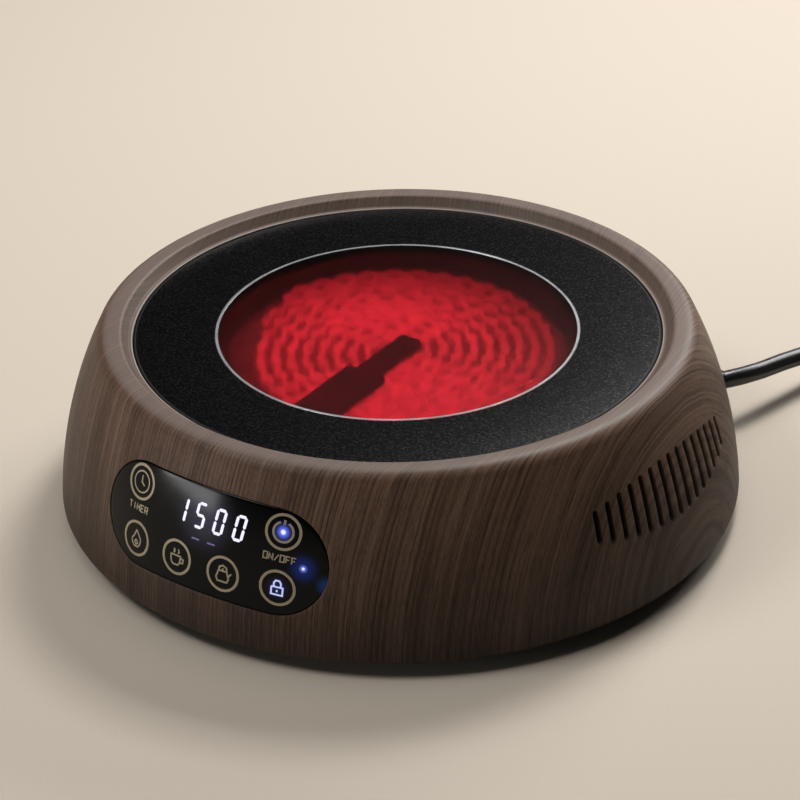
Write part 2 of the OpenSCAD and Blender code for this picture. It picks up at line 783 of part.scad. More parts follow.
module carrier_screws() {
    color("silver") for (a = boss_angles) rotate([0, 0, a])
        translate([boss_circle_r, 0, carrier_bot]) screw(carrier_screw_l);
}

module temp_probe() {
    color("#5a5550") translate([probe_x, shoe_in_y, probe_bot + probe_t / 2]) rotate([-90, 0, 0])
        linear_extrude(probe_l) polygon(slot_outline(probe_w, probe_t));
}

module probe_shoe() {
    color("#8d867c") translate([probe_x - shoe_w / 2, -shoe_end_r, probe_bot])
        cube([shoe_w, shoe_end_r + shoe_in_y, probe_t]);
}

module heater_terminals() {
    ends = [[spiral_r(short_turns), terminal_a], [arm_r, -terminal_a]];
    color("#c9c4b8") for (e = ends) {
        start_r = e[0] + ribbon_t / 2 + 0.1;
        rotate([0, 0, 180 + e[1]]) translate([start_r, -terminal_w / 2, terminal_z])
            cube([block_in + block_size.x - 2 - start_r, terminal_w, terminal_t]);
    }
}

module terminal_block() {
    color("#efe9dc") translate([-block_in - block_size.x, -block_size.y / 2, block_top - block_size.z])
        cube(block_size);
}

module thermal_cutout() {
    color("#6d4a2c") translate([cutout_p.x, cutout_p.y, carrier_bot - cutout_h]) {
        cylinder(r = cutout_r - 1.5, h = cutout_h);
        translate([0, 0, cutout_h - 2]) cylinder(r = cutout_r, h = 2);
    }
}

// Fan
module fan_frame() {
    color("#1c1c1e") translate([fan_c.x, fan_c.y, fan_bot]) {
        difference() {
            linear_extrude(fan_h) polygon(rounded_outline(fan_w, fan_w, fan_corner_r));
            translate([0, 0, -cut]) cylinder(r = duct_r, h = fan_h + 2 * cut, $fn = round_fn);
            for (p = fan_screws_at) translate([p.x - fan_c.x, p.y - fan_c.y, -cut])
                cylinder(r = fan_hole_r, h = fan_h + 2 * cut);
        }
        for (a = [45:90:315]) rotate([0, 0, a]) translate([hub_r - 2, -strut_w / 2, 0])
            cube([duct_r - hub_r + 3, strut_w, strut_h]);
        cylinder(r = hub_r - 1, h = strut_h);
        difference() {
            cylinder(r = bearing_r, h = bearing_top - fan_bot);
            translate([0, 0, strut_h]) cylinder(r = shaft_r + shaft_gap, h = fan_h);
        }
    }
}

module fan_stator() {
    slot_w = 3;
    color("#8a5a2b") translate([fan_c.x, fan_c.y, fan_bot + strut_h]) difference() {
        cylinder(r = stator_r, h = stator_h);
        translate([0, 0, -cut]) cylinder(r = bearing_r + shaft_gap, h = stator_h + 2 * cut);
        for (a = [45:90:315]) rotate([0, 0, a]) translate([bearing_r + 2.5, -slot_w / 2, -cut])
            cube([stator_r, slot_w, stator_h + 2 * cut]);
    }
}

module fan_rotor() {
    blade_in_r = hub_r - cup_t / 2;
    blade_out_r = duct_r - tip_gap;
    blade_h = rotor_top - rotor_bot;
    shaft_bot = fan_bot + strut_h + 0.4;
    color("#2b2b2e") translate([fan_c.x, fan_c.y, 0]) {
        difference() {
            translate([0, 0, rotor_bot]) cylinder(r = hub_r, h = blade_h);
            translate([0, 0, rotor_bot - cut]) cylinder(r = hub_r - cup_t, h = blade_h - cup_t + cut);
        }
        translate([0, 0, shaft_bot]) cylinder(r = shaft_r, h = rotor_top - cup_t / 2 - shaft_bot);
        intersection() {
            for (i = [0:blade_count - 1]) rotate([0, 0, 360 * i / blade_count])
                translate([(blade_in_r + blade_out_r) / 2, 0, (rotor_bot + rotor_top) / 2])
                    rotate([blade_tilt, 0, 0]) cube([blade_out_r, blade_t, 4 * blade_h], center = true);
            ring(blade_out_r, blade_in_r, rotor_bot, blade_h);
        }
    }
}

module fan_screws() {
    color("silver") for (p = fan_screws_at) translate([p.x, p.y, fan_bot + fan_h]) mirror([0, 0, 1])
        screw(fan_h + fan_lift);
}

// Power electronics
module power_board() {
    color("#2c6b3f") difference() {
        translate([power_c.x, power_c.y, power_bot]) linear_extrude(power_t)
            polygon(rounded_outline(power_size.x, power_size.y, 3));
        for (p = power_screws_at) translate([p.x, p.y, power_bot - cut])
            cylinder(r = screw_hole_r, h = power_t + 2 * cut);
    }
}

module board_screws() {
    color("silver") for (p = power_screws_at) translate([p.x, p.y, power_top]) mirror([0, 0, 1])
        screw(power_t + power_board_lift - 1);
}

module heat_sink() {
    step = (sink_size.x - sink_fin_t) / (sink_fins - 1);
    color("#c4c8cb") translate([sink_p.x, sink_p.y + sink_size.y, power_top]) rotate([90, 0, 0])
        linear_extrude(sink_size.y) union() {
            square([sink_size.x, sink_floor]);
            for (i = [0:sink_fins - 1]) translate([i * step, 0]) square([sink_fin_t, sink_size.z]);
        }
}

module triac() {
    x = sink_p.x + sink_size.x;
    y = sink_p.y + 18;
    stand = 1;
    color("#232323") translate([x, y, power_top + stand]) {
        cube([1.3, 10, sink_size.z - stand]);
        translate([1.3, 0, 0]) cube([3.2, 10, 9]);
        for (i = [0:2]) translate([2.4, 2.1 + 2.5 * i, -stand]) cube([0.6, 0.8, stand + 1]);
    }
}

module filter_capacitor() {
    place = [-49, 31.5];
    size = [26, 11, 0.8 * headroom];
    color("#c9a227") translate([place.x, place.y, power_top]) linear_extrude(size.z)
        polygon(rounded_outline(size.x, size.y, 1));
}

module supply_transformer() {
    core_t = 4;
    size = [16, 16, 0.7 * headroom];
    place = [-28, -10];
    color("#4b4437") translate([place.x, place.y, power_top]) {
        cube([core_t, size.y, size.z]);
        translate([size.x - core_t, 0, 0]) cube([core_t, size.y, size.z]);
        translate([core_t, 2, 2]) cube([size.x - 2 * core_t, size.y - 4, size.z - 4]);
    }
}

module smoothing_capacitors() {
    places = [[-20, -36], [-20, -22]];
    can_r = 5;
    can_h = 0.75 * headroom;
    groove_d = 0.4;
    color("#27324f") for (p = places) translate([p.x, p.y, power_top]) difference() {
        cylinder(r = can_r, h = can_h);
        ring(can_r + cut, can_r - groove_d, 2, 2 * groove_d);
    }
}

module fuse() {
    clip = [5, 6, 5];
    tube_r = 2.6;
    tube_l = 20;
    place = [-50, 46];
    color("#d7d9da") translate([place.x, place.y, power_top]) {
        translate([0, 0, clip.z + tube_r]) rotate([0, 90, 0]) cylinder(r = tube_r, h = tube_l, center = true);
        for (s = [-1, 1]) translate([s * (tube_l - clip.x) / 2 - clip.x / 2, -clip.y / 2, 0]) cube(clip);
    }
}

module spade_tabs() {
    color("#d8d3c3") for (p = mains_tabs) translate([p.x - tab_size.y / 2, p.y - tab_size.x / 2, power_top])
        cube([tab_size.y, tab_size.x, tab_size.z]);
    color("#d8d3c3") for (p = heater_tabs) translate([p.x - tab_size.x / 2, p.y - tab_size.y / 2, power_top])
        cube(tab_size);
}

module buzzer() {
    place = [-44, -41];
    can_r = 6;
    can_h = 8;
    color("#171717") translate([place.x, place.y, power_top]) difference() {
        cylinder(r = can_r, h = can_h);
        translate([0, 0, can_h - 2]) cylinder(r = can_r / 5, h = 2 + cut);
    }
}

// Inner wiring
module mains_leads() {
    aside_dir = [-gland_out.y, gland_out.x, 0];
    core_r = 0.8;
    core_pitch = 2.4;
    start = [stub_in_r * gland_out.x, stub_in_r * gland_out.y, gland_z];
    color("#7a3b2e") for (i = [0:2]) {
        first = start + core_pitch * (i - 1) * aside_dir;
        run_y = 60 + 4 * i;
        tab = [mains_tabs[i].x, mains_tabs[i].y + tab_size.x / 2 + 0.2, power_top + tab_size.z / 2];
        tube([first, first - 4 * gland_out, [34, run_y + 8, gland_z + 1], [12, run_y + 1, gland_z + 2],
              [tab.x + 14, run_y, tab.z], [tab.x + 5, run_y - 1, tab.z], [tab.x, run_y - 4, tab.z],
              tab], core_r, 8);
    }
}

module heater_leads() {
    color("#b9b2a6") for (s = [-1, 1]) {
        end_x = -block_in - block_size.x / 2;
        end_z = block_top - block_size.z - 0.2;
        start = [heater_tabs[0].x, s * 8, power_top + tab_size.z + 0.2];
        tube([start, start + [0, 0, 2], [start.x - 1.5, s * 7.6, start.z + 4.5],
              [end_x + 1, s * 6.4, end_z - 5], [end_x, s * 6, end_z - 2.5], [end_x, s * 6, end_z]],
             lead_d / 2, 8, [0, 1, 0]);
    }
}

module fan_lead() {
    frame_x = fan_c.x - fan_w / 2;
    board_x = power_c.x + power_size.x / 2 - 3;
    color("#8c1f1f") tube([[frame_x - 0.2, -20, fan_bot + 6], [frame_x - 2, -20, fan_bot + 6],
        [frame_x - 5, -20, fan_bot + 7.5], [board_x + 2, -20, power_top + 3.2],
        [board_x + 0.4, -20, power_top + 2], [board_x, -20, power_top + 0.2]], 1, 8, [0, 1, 0]);
}

// Flat cable from the back of the display board down to the power board
module display_cable() {
    cable_w = 12;
    cable_t = 1;
    v = -15;
    back = board_depth + board_t + 0.6;
    start = [-wall_r(panel_z) + v * sin(panel_tilt) + back * cos(panel_tilt),
             panel_z + v * cos(panel_tilt) - back * sin(panel_tilt)];
    board_y = power_c.y - power_size.y / 2 + 2;
    middle = [start, start + [6, -0.5], [start.x + 14, power_top + 3], [-70, power_top + 1.6],
              [board_y, power_top + 0.2]];
    color("#b8b8b4") translate([-26, 0, 0]) rotate([90, 0, 90]) linear_extrude(cable_w)
        polygon(concat(middle, [for (i = [len(middle) - 1:-1:0]) middle[i] + [0, cable_t]]));
}

// Base
module base_lip() {
    lip_out_r = wall_r(base_top + base_lip_h, wall_t) - base_gap;
    difference() {
        ring(lip_out_r, lip_out_r - 2, base_bot + base_t / 2, base_t / 2 + base_lip_h);
        for (a = post_angles) rotate([0, 0, a]) translate([post_circle_r, 0, base_bot]) {
            cylinder(d = post_d + 1, h = body_h);
            translate([0, -rib_t / 2 - base_gap, 0]) cube([post_inset, rib_t + 2 * base_gap, body_h]);
        }
    }
}

module base_cover() {
    plate_r = wall_r(base_top, wall_t) - base_gap;
    color("#2a2a2b") difference() {
        union() {
            translate([0, 0, base_bot]) cylinder(r = plate_r, h = base_t, $fn = round_fn);
            base_lip();
            for (p = fan_screws_at) translate([p.x, p.y, base_bot + base_t / 2])
                cylinder(d = fan_boss_d, h = base_t / 2 + fan_lift);
            for (p = power_screws_at) translate([p.x, p.y, base_bot + base_t / 2])
                cylinder(d = fan_boss_d, h = base_t / 2 + power_board_lift);
            rotate([0, 0, gland_dir]) for (s = [-1, 1])
                translate([clamp_r, s * clamp_screw_y, base_bot + base_t / 2])
                    cylinder(d = fan_boss_d, h = gland_z + cord_r - base_bot - base_t / 2);
        }
        for (a = post_angles) rotate([0, 0, a]) translate([post_circle_r, 0, 0]) {
            cylinder(r = head_r + 0.4, h = base_bot + base_sink);
            cylinder(r = screw_hole_r, h = base_top + cut);
        }
        on_gland() translate([0, 0, stub_in_r]) cylinder(d = gland_d + 2 * base_gap, h = body_d / 2);
        for (i = [0:3]) rotate([0, 0, 45 + 90 * i]) translate([foot_circle_r, 0, 0])
            cylinder(d = foot_d + 0.4, h = base_bot + foot_socket);
        translate([fan_c.x, fan_c.y, 0]) difference() {
            for (r = grille_r)
                ring(r + grille_slot / 2, r - grille_slot / 2, base_bot - cut, base_t + 2 * cut);
            for (a = [0, 60, 120]) rotate([0, 0, a]) translate([-duct_r, -grille_bar / 2, 0])
                cube([2 * duct_r, grille_bar, body_h]);
        }
        for (p = fan_screws_at) translate([p.x, p.y, base_bot + 0.6]) cylinder(r = pilot_r, h = body_h);
        for (p = power_screws_at) translate([p.x, p.y, base_bot + 0.6]) cylinder(r = pilot_r, h = body_h);
        rotate([0, 0, gland_dir]) for (s = [-1, 1])
            translate([clamp_r, s * clamp_screw_y, base_top]) cylinder(r = pilot_r, h = body_h);
    }
}

module base_screws() {
    color("silver") for (a = post_angles) rotate([0, 0, a])
        translate([post_circle_r, 0, base_bot + base_sink]) screw(base_screw_l);
}

module foot(i) {
    r = foot_d / 2;
    color("#1d1d1d") rotate([0, 0, 45 + 90 * i]) translate([foot_circle_r, 0, 0]) rotate_extrude()
        polygon([[0, 0], [r - 1.4, 0], [r - 0.4, 1], [r, base_bot], [r, base_bot + foot_socket],
                 [0, base_bot + foot_socket]]);
}

// Cord entry
module strain_relief() {
    color("#151515") on_gland() rotate_extrude()
        polygon([[0, stub_in_r], [cord_r, stub_in_r], [cord_r, gland_in_r - gland_collar],
                 [gland_d / 2, gland_in_r - gland_collar], [gland_d / 2, gland_in_r],
                 [gland_neck_r, gland_in_r], [gland_neck_r, gland_spot_r], [gland_d / 2, gland_spot_r],
                 [gland_d / 2, gland_face_r - 1], [gland_d / 2 - 1, gland_face_r],
                 [cord_r + 0.5, gland_end_r], [0, gland_end_r]]);
}

module cord_clamp() {
    color("#3c3c3e") rotate([0, 0, gland_dir]) translate([clamp_r, 0, gland_z + cord_r]) difference() {
        translate([-clamp_size.x / 2, -clamp_size.y / 2, 0]) cube(clamp_size);
        for (s = [-1, 1]) translate([0, s * clamp_screw_y, -cut])
            cylinder(r = screw_hole_r, h = clamp_size.z + 2 * cut);
    }
}

module clamp_screws() {
    color("silver") rotate([0, 0, gland_dir]) for (s = [-1, 1])
        translate([clamp_r, s * clamp_screw_y, gland_z + cord_r + clamp_size.z]) mirror([0, 0, 1]) screw(10);
}

// Free cord and plug
module cord_lead() {
    color("#111111") tube(lead_route, cord_r, 10);
}

module cord_coil() {
    echo(coil_least_gap = coil_self_gap);
    color("#111111") tube(coil_route, cord_r, 6);
}

module cord_tie() {
    inner_lo = [coil_in_r + coil_pitch / 4 - cord_r - 2 * tie_gap, cord_z - cord_r - tie_gap];
    inner_hi = [coil_r - coil_pitch / 4 + cord_r + tie_gap,
                coil_height(coil_total - 0.25) + cord_r + tie_gap];
    size = inner_hi - inner_lo;
    middle = (inner_lo + inner_hi) / 2;
    corner_r = cord_r - tie_gap;
    color("#1a1a1c") translate([coil_c.x, coil_c.y, 0]) rotate([0, 0, coil_in_a - 90])
        translate([middle.x, tie_w / 2, middle.y]) rotate([90, 0, 0]) linear_extrude(tie_w) difference() {
            polygon(rounded_outline(size.x + 2 * tie_t, size.y + 2 * tie_t, corner_r + tie_t));
            polygon(rounded_outline(size.x, size.y, corner_r));
        }
}

module plug_body() {
    neck_l = 12;
    neck_r = cord_r + 1.6;
    taper_l = 14;
    color("#131313") on_plug() {
        rotate([0, 90, 0]) rotate_extrude()
            polygon([[0, 0], [neck_r - 0.4, 0], [neck_r + 0.8, neck_l + 2], [0, neck_l + 2]]);
        intersection() {
            translate([0, 0, -plug_t]) linear_extrude(2 * plug_t)
                polygon(concat(
                    [[neck_l, -neck_r - 1], [neck_l + taper_l, -plug_w / 2]],
                    arc([plug_l - 3, 3 - plug_w / 2], 3, -90, 0, 4),
                    arc([plug_l - 3, plug_w / 2 - 3], 3, 0, 90, 4),
                    [[neck_l + taper_l, plug_w / 2], [neck_l, neck_r + 1]]));
            rotate([90, 0, 0]) translate([0, 0, -plug_w]) linear_extrude(2 * plug_w)
                polygon(concat(
                    [[neck_l, -neck_r - 1], [neck_l + taper_l, -plug_t / 2]],
                    arc([plug_l - 3, 3 - plug_t / 2], 3, -90, 0, 4),
                    arc([plug_l - 3, plug_t / 2 - 3], 3, 0, 90, 4),
                    [[neck_l + taper_l, plug_t / 2], [neck_l, neck_r + 1]]));
        }
    }
}

module plug_pins() {
    pin = [6.3, 1.6];
    spots = [[-7.5, 3.5, 60], [7.5, 3.5, -60], [0, -6.5, 90]];
    color("#c8c2b2") on_plug() for (p = spots) translate([plug_l, p[0], p[1]]) rotate([p[2], 0, 0])
        translate([0, -pin[0] / 2, -pin[1] / 2]) cube([pin_l, pin[0], pin[1]]);
}

housing_shell();
glass_plate();
glass_seal();
panel_lens();
display_board();
digit_display();
touch_columns();
key_leds();
display_screws();
heating_ribbon();
insulation_bed();
insulation_ring();
heater_pan();
heater_carrier();
carrier_screws();
temp_probe();
probe_shoe();
heater_terminals();
terminal_block();
thermal_cutout();
fan_frame();
fan_stator();
fan_rotor();
fan_screws();
power_board();
board_screws();
heat_sink();
triac();
filter_capacitor();
supply_transformer();
smoothing_capacitors();
fuse();
spade_tabs();
buzzer();
mains_leads();
heater_leads();
fan_lead();
display_cable();
base_cover();
base_screws();
foot(0);  // foot_1
foot(1);  // foot_2
foot(2);  // foot_3
foot(3);  // foot_4
strain_relief();
cord_clamp();
clamp_screws();
cord_lead();
cord_coil();
cord_tie();
plug_body();
plug_pins();
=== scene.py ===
"""Infrared hot plate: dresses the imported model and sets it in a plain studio."""
import json
import logging
import math
from collections.abc import Callable
from dataclasses import dataclass
from enum import Enum

import bmesh
import bpy
from mathutils import Euler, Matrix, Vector


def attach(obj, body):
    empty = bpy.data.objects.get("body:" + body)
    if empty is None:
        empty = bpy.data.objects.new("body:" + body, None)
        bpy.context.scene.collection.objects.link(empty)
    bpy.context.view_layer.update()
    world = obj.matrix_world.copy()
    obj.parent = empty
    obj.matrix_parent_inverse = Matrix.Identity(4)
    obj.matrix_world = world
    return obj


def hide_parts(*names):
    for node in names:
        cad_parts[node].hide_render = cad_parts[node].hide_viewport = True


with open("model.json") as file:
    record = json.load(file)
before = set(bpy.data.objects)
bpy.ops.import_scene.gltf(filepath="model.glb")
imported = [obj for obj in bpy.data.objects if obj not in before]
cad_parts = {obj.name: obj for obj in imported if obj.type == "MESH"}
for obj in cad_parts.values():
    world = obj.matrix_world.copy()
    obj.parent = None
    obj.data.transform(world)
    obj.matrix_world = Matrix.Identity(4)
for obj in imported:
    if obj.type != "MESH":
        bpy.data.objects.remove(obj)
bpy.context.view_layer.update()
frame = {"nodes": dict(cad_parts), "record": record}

LOG = logging.getLogger("hot_plate")
MM = 0.001
BODY = "stove"
Pair = tuple[float, float]
Colour = tuple[float, float, float, float]
Obj = bpy.types.Object
Mat = bpy.types.Material
Socket = bpy.types.NodeSocket
Value = float | tuple | Socket


# Modelling helpers

def deselect() -> None:
    """Leave edit mode and deselect everything."""
    if bpy.context.object and bpy.context.object.mode != "OBJECT":
        bpy.ops.object.mode_set(mode="OBJECT")
    bpy.ops.object.select_all(action="DESELECT")


def activate(*objs: Obj) -> None:
    """Select these objects alone, the first of them active.

    Args:
        objs: The objects.
    """
    deselect()
    for obj in objs:
        obj.select_set(True)
    bpy.context.view_layer.objects.active = objs[0]


def on_all(operator: Callable, **options: object) -> None:
    """Run an operator on the whole of the mesh that is being edited."""
    bpy.ops.mesh.select_all(action="SELECT")
    operator(**options)


def close_mesh(obj: Obj, name: str, capped: bool) -> Obj:
    """Merge seams, close holes, turn the faces outwards and leave edit mode.

    Args:
        obj: The object being edited.
        name: Its final name.
        capped: Whether open ends get a face.
    Returns:
        The object.
    """
    on_all(bpy.ops.mesh.remove_doubles, threshold=1e-7)
    if capped:
        on_all(bpy.ops.mesh.fill_holes, sides=0)
    on_all(bpy.ops.mesh.normals_make_consistent, inside=False)
    bpy.ops.object.mode_set(mode="OBJECT")
    obj.name = obj.data.name = name
    return obj


def skinned(name: str, rows: list[list[Vector]], looped: bool = False) -> Obj:
    """Skin closed sections of equal count, starting from a flat grid.

    Args:
        name: Name of the piece.
        rows: Sections in millimetres, each a closed loop of points.
        looped: Whether the last section joins the first; otherwise the open ends get a face.
    Returns:
        The new mesh object.
    """
    down, across = len(rows) - 1 + looped, len(rows[0])
    deselect()
    bpy.ops.mesh.primitive_grid_add(x_subdivisions=across, y_subdivisions=down, size=2, enter_editmode=True)
    obj = bpy.context.object
    mesh = bmesh.from_edit_mesh(obj.data)
    for vert in mesh.verts:
        i = round((vert.co.x + 1) / 2 * across) % across
        k = round((vert.co.y + 1) / 2 * down) % len(rows)
        vert.co = Vector(rows[k][i]) * MM
    bmesh.update_edit_mesh(obj.data)
    return close_mesh(obj, name, not looped)


def spun(name: str, profile: list[Pair], steps: int = 128) -> Obj:
    """Spin a closed profile about the upright axis.

    Args:
        name: Name of the piece.
        profile: Closed loop of radius and height in millimetres.
        steps: Number of steps in the full turn.
    Returns:
        The new mesh object.
    """
    deselect()
    bpy.ops.mesh.primitive_circle_add(vertices=len(profile), fill_type="NOTHING", enter_editmode=True)
    obj = bpy.context.object
    mesh = bmesh.from_edit_mesh(obj.data)
    mesh.verts.ensure_lookup_table()
    for vert, (r, z) in zip(mesh.verts, profile):
        vert.co = Vector((r, 0, z)) * MM
    bmesh.update_edit_mesh(obj.data)
    on_all(bpy.ops.mesh.spin, steps=steps, angle=math.tau, center=(0, 0, 0), axis=(0, 0, 1),
           use_auto_merge=True)
    on_all(bpy.ops.mesh.dissolve_degenerate, threshold=1e-8)
    return close_mesh(obj, name, False)


def shifted(obj: Obj, x: float, y: float) -> Obj:
    """Move a piece's mesh across the table, in millimetres, and leave its object at the origin.

    Args:
        obj: The piece.
        x: Distance along x.
        y: Distance along y.
    Returns:
        The piece.
    """
    activate(obj)
    bpy.ops.object.mode_set(mode="EDIT")
    on_all(bpy.ops.transform.translate, value=(x * MM, y * MM, 0))
    bpy.ops.object.mode_set(mode="OBJECT")
    return obj


def joined(name: str, parts: list[Obj]) -> Obj:
    """Join several meshes into one piece.

    Args:
        name: Name of the piece.
        parts: The meshes.
    Returns:
        The piece.
    """
    activate(*parts)
    bpy.ops.object.join()
    obj = bpy.context.object
    obj.name = obj.data.name = name
    return obj


def modified(obj: Obj, kind: str, **settings: object) -> Obj:
    """Add a modifier with these settings and apply it.

    Args:
        obj: The piece.
        kind: Type of the modifier.
        settings: Its settings.
    Returns:
        The piece.
    """
    activate(obj)
    made = obj.modifiers.new(kind.lower(), kind)
    for key, value in settings.items():
        setattr(made, key, value)
    bpy.ops.object.modifier_apply(modifier=made.name)
    return obj


def carve(obj: Obj, cutter: Obj) -> None:
    """Cut one solid out of another and delete the cutter."""
    modified(obj, "BOOLEAN", operation="DIFFERENCE", solver="EXACT", object=cutter)
    bpy.data.objects.remove(cutter, do_unlink=True)


def smooth(obj: Obj, degrees: float = 35) -> Obj:
    """Shade a piece smooth, with edges sharper than an angle left crisp.

    Args:
        obj: The piece.
        degrees: The angle.
    Returns:
        The piece.
    """
    activate(obj)
    bpy.ops.object.shade_smooth_by_angle(angle=math.radians(degrees))
    return obj


def merged_copy(node: str, name: str, bevel: float = 0.0, degrees: float = 30) -> Obj:
    """Copy a CAD node into a piece of its own, merge its triangles and round its edges.

    Args:
        node: Name of the CAD node.
        name: Name of the new piece.
        bevel: Width of the rounded edges in millimetres, or 0.
        degrees: Angle above which an edge is rounded and stays crisp.
    Returns:
        The new mesh object.
    """
    source = frame["nodes"][node]
    obj = bpy.data.objects.new(name, source.data.copy())
    bpy.context.scene.collection.objects.link(obj)
    activate(obj)
    bpy.ops.object.mode_set(mode="EDIT")
    on_all(bpy.ops.mesh.remove_doubles, threshold=2e-6)
    on_all(bpy.ops.mesh.tris_convert_to_quads, face_threshold=0.02, shape_threshold=0.7)
    bpy.ops.object.mode_set(mode="OBJECT")
    obj.data.name = name
    if bevel:
        modified(obj, "BEVEL", width=bevel * MM, segments=3, limit_method="ANGLE",
                 angle_limit=math.radians(degrees), harden_normals=False)
    return modified(smooth(obj, degrees), "WEIGHTED_NORMAL", keep_sharp=True)


def settle(obj: Obj, slot: str, *materials: Mat, replaces: tuple[str, ...] = (), body: str = BODY) -> Obj:
    """Dress a finished piece and hang it on its body.

    Args:
        obj: The piece.
        slot: Slot of the record that its finish belongs to; not used.
        materials: Its materials in slot order.
        replaces: CAD nodes that it stands for.
        body: Body that it moves with.
    Returns:
        The piece.
    """
    obj.data.materials.clear()
    for material in materials:
        obj.data.materials.append(material)
    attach(obj, body)
    if replaces:
        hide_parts(*replaces)
    LOG.info("%s: %d faces", obj.name, len(getattr(obj.data, "polygons", [])))
    return obj


# Outlines

def arc(c: Pair, r: float, a0: float, a1: float, steps: int, first: int = 0) -> list[Pair]:
    """Points of an arc, with angles in degrees, from point number first on."""
    turns = [math.radians(a0 + (a1 - a0) * i / steps) for i in range(first, steps + 1)]
    return [(c[0] + r * math.cos(a), c[1] + r * math.sin(a)) for a in turns]


def rounded(before: Pair, corner: Pair, after: Pair, r: float, steps: int = 5) -> list[Pair]:
    """Points that round a corner between two straight runs.

    Args:
        before: A point on the run that comes in.
        corner: The corner.
        after: A point on the run that goes out.
        r: Distance from the corner at which the round starts.
        steps: Number of steps.
    Returns:
        Points of the round.
    """
    p, q, s = Vector(before), Vector(corner), Vector(after)
    a, b = q + (p - q).normalized() * r, q + (s - q).normalized() * r
    ts = [i / steps for i in range(steps + 1)]
    return [tuple(a * (1 - t) ** 2 + q * 2 * t * (1 - t) + b * t ** 2) for t in ts]


def stadium(r: float, half: float, bend: int = 24, run: int = 24) -> list[Pair]:
    """Outline with two round ends of radius r about points half apart from the middle.

    Args:
        r: Radius of the ends.
        half: Distance from the middle to the middle of an end.
        bend: Steps round an end.
        run: Steps along a straight side.
    Returns:
        Points of the outline.
    """
    top = [(half - 2 * half * i / run, r) for i in range(1, run)]
    low = [(-half + 2 * half * i / run, -r) for i in range(1, run)]
    return arc((half, 0), r, -90, 90, bend) + top + arc((-half, 0), r, 90, 270, bend) + low


# Finishes

class Sketch:
    """A material's nodes, with short calls that add and join them."""

    def __init__(self, name: str) -> None:
        """Start a material with one Principled shader.

        Args:
            name: Name of the material.
        """
        self.material = bpy.data.materials.new(name)
        self.material.use_nodes = True
        self.tree = self.material.node_tree
        self.shader = self.tree.nodes["Principled BSDF"]
        self.origin = self.tree.nodes.new("ShaderNodeTexCoord").outputs["Object"]

    def feed(self, socket: Socket, value: Value) -> None:
        """Link an output to a socket, or set the socket's own value.

        Args:
            socket: The socket.
            value: The output or value.
        """
        if isinstance(value, Socket):
            self.tree.links.new(value, socket)
        else:
            socket.default_value = value

    def wire(self, node: bpy.types.Node, **values: Value) -> None:
        """Feed a node's sockets, named with _ for a space."""
        for key, value in values.items():
            self.feed(node.inputs[key.replace("_", " ")], value)

    def put(self, **values: Value) -> None:
        """Feed the shader's sockets, named with _ for a space."""
        self.wire(self.shader, **values)

    def node(self, kind: str, *inputs: Value, **settings: object) -> bpy.types.Node:
        """Add a node, set its options and feed its inputs in order.

        Args:
            kind: Name of the node's type without its prefix.
            inputs: Values or outputs; None leaves an input alone.
            settings: The node's options.
        Returns:
            The node.
        """
        made = self.tree.nodes.new("ShaderNode" + kind)
        for key, value in settings.items():
            setattr(made, key, value)
        for socket, value in zip(made.inputs, inputs):
            if value is not None:
                self.feed(socket, value)
        return made

    def math(self, operation: str, *inputs: Value) -> Socket:
        """Result of a sum on numbers."""
        return self.node("Math", *inputs, operation=operation).outputs[0]

    def place(self, scale: tuple = (1, 1, 1), shift: tuple = (0, 0, 0)) -> Socket:
        """Object coordinates, scaled and then shifted."""
        return self.node("Mapping", self.origin, shift, (0, 0, 0), scale).outputs[0]

    def from_axis(self, middle: Pair = (0.0, 0.0)) -> Socket:
        """Distance in millimetres from an upright axis."""
        flat = self.place((1000, 1000, 0), (-middle[0], -middle[1], 0))
        return self.node("VectorMath", flat, operation="LENGTH").outputs["Value"]

    def from_point(self, point: Vector) -> Socket:
        """Distance in metres from a point in millimetres."""
        return self.node("VectorMath", self.origin, tuple(point * MM), operation="DISTANCE").outputs["Value"]

    def noise(self, where: Socket, scale: float, detail: float = 2, rough: float = 0.5) -> Socket:
        """Noise from 0 to 1.

        Args:
            where: Coordinates.
            scale: Its scale.
            detail: Its detail.
            rough: Its roughness.
        Returns:
            The noise.
        """
        made = self.node("TexNoise", noise_dimensions="3D")
        self.wire(made, Vector=where, Scale=scale, Detail=detail, Roughness=rough)
        return made.outputs[0]

    def span(self, value: Value, low: float, high: float, to_low: float, to_high: float,
             kind: str = "LINEAR") -> Socket:
        """Map a value from one range to another."""
        return self.node("MapRange", value, low, high, to_low, to_high, interpolation_type=kind).outputs[0]

    def ramp(self, value: Value, *stops: tuple[float, Colour]) -> Socket:
        """Colour of a value along stops.

        Args:
            value: The value.
            stops: Places from 0 to 1, with colours.
        Returns:
            The colour.
        """
        made = self.node("ValToRGB", value)
        marks = made.color_ramp.elements
        while len(marks) < len(stops):
            marks.new(0.5)
        for mark, (spot, colour) in zip(marks, sorted(stops)):
            mark.position = spot
            mark.color = colour
        return made.outputs[0]

    def mix(self, share: Value, a: Value, b: Value, how: str = "MIX") -> Socket:
        """Mix two colours.

        Args:
            share: Share of the second.
            a: The first.
            b: The second.
            how: Way of mixing.
        Returns:
            The mix.
        """
        made = self.node("Mix", share, data_type="RGBA", blend_type=how)
        self.feed(made.inputs[6], a)
        self.feed(made.inputs[7], b)
        return made.outputs[2]

    def bump(self, height: Socket, strength: float, distance: float) -> None:
        """Raise the surface by a height, distance in millimetres.

        Args:
            height: The height, from 0 to 1.
            strength: Strength of the effect.
            distance: Rise at full height.
        """
        made = self.node("Bump")
        self.wire(made, Strength=strength, Distance=distance * MM, Height=height)
        self.put(Normal=made.outputs[0])


def tone(r: float, g: float, b: float) -> Colour:
    """Colour with full cover."""
    return (r, g, b, 1.0)


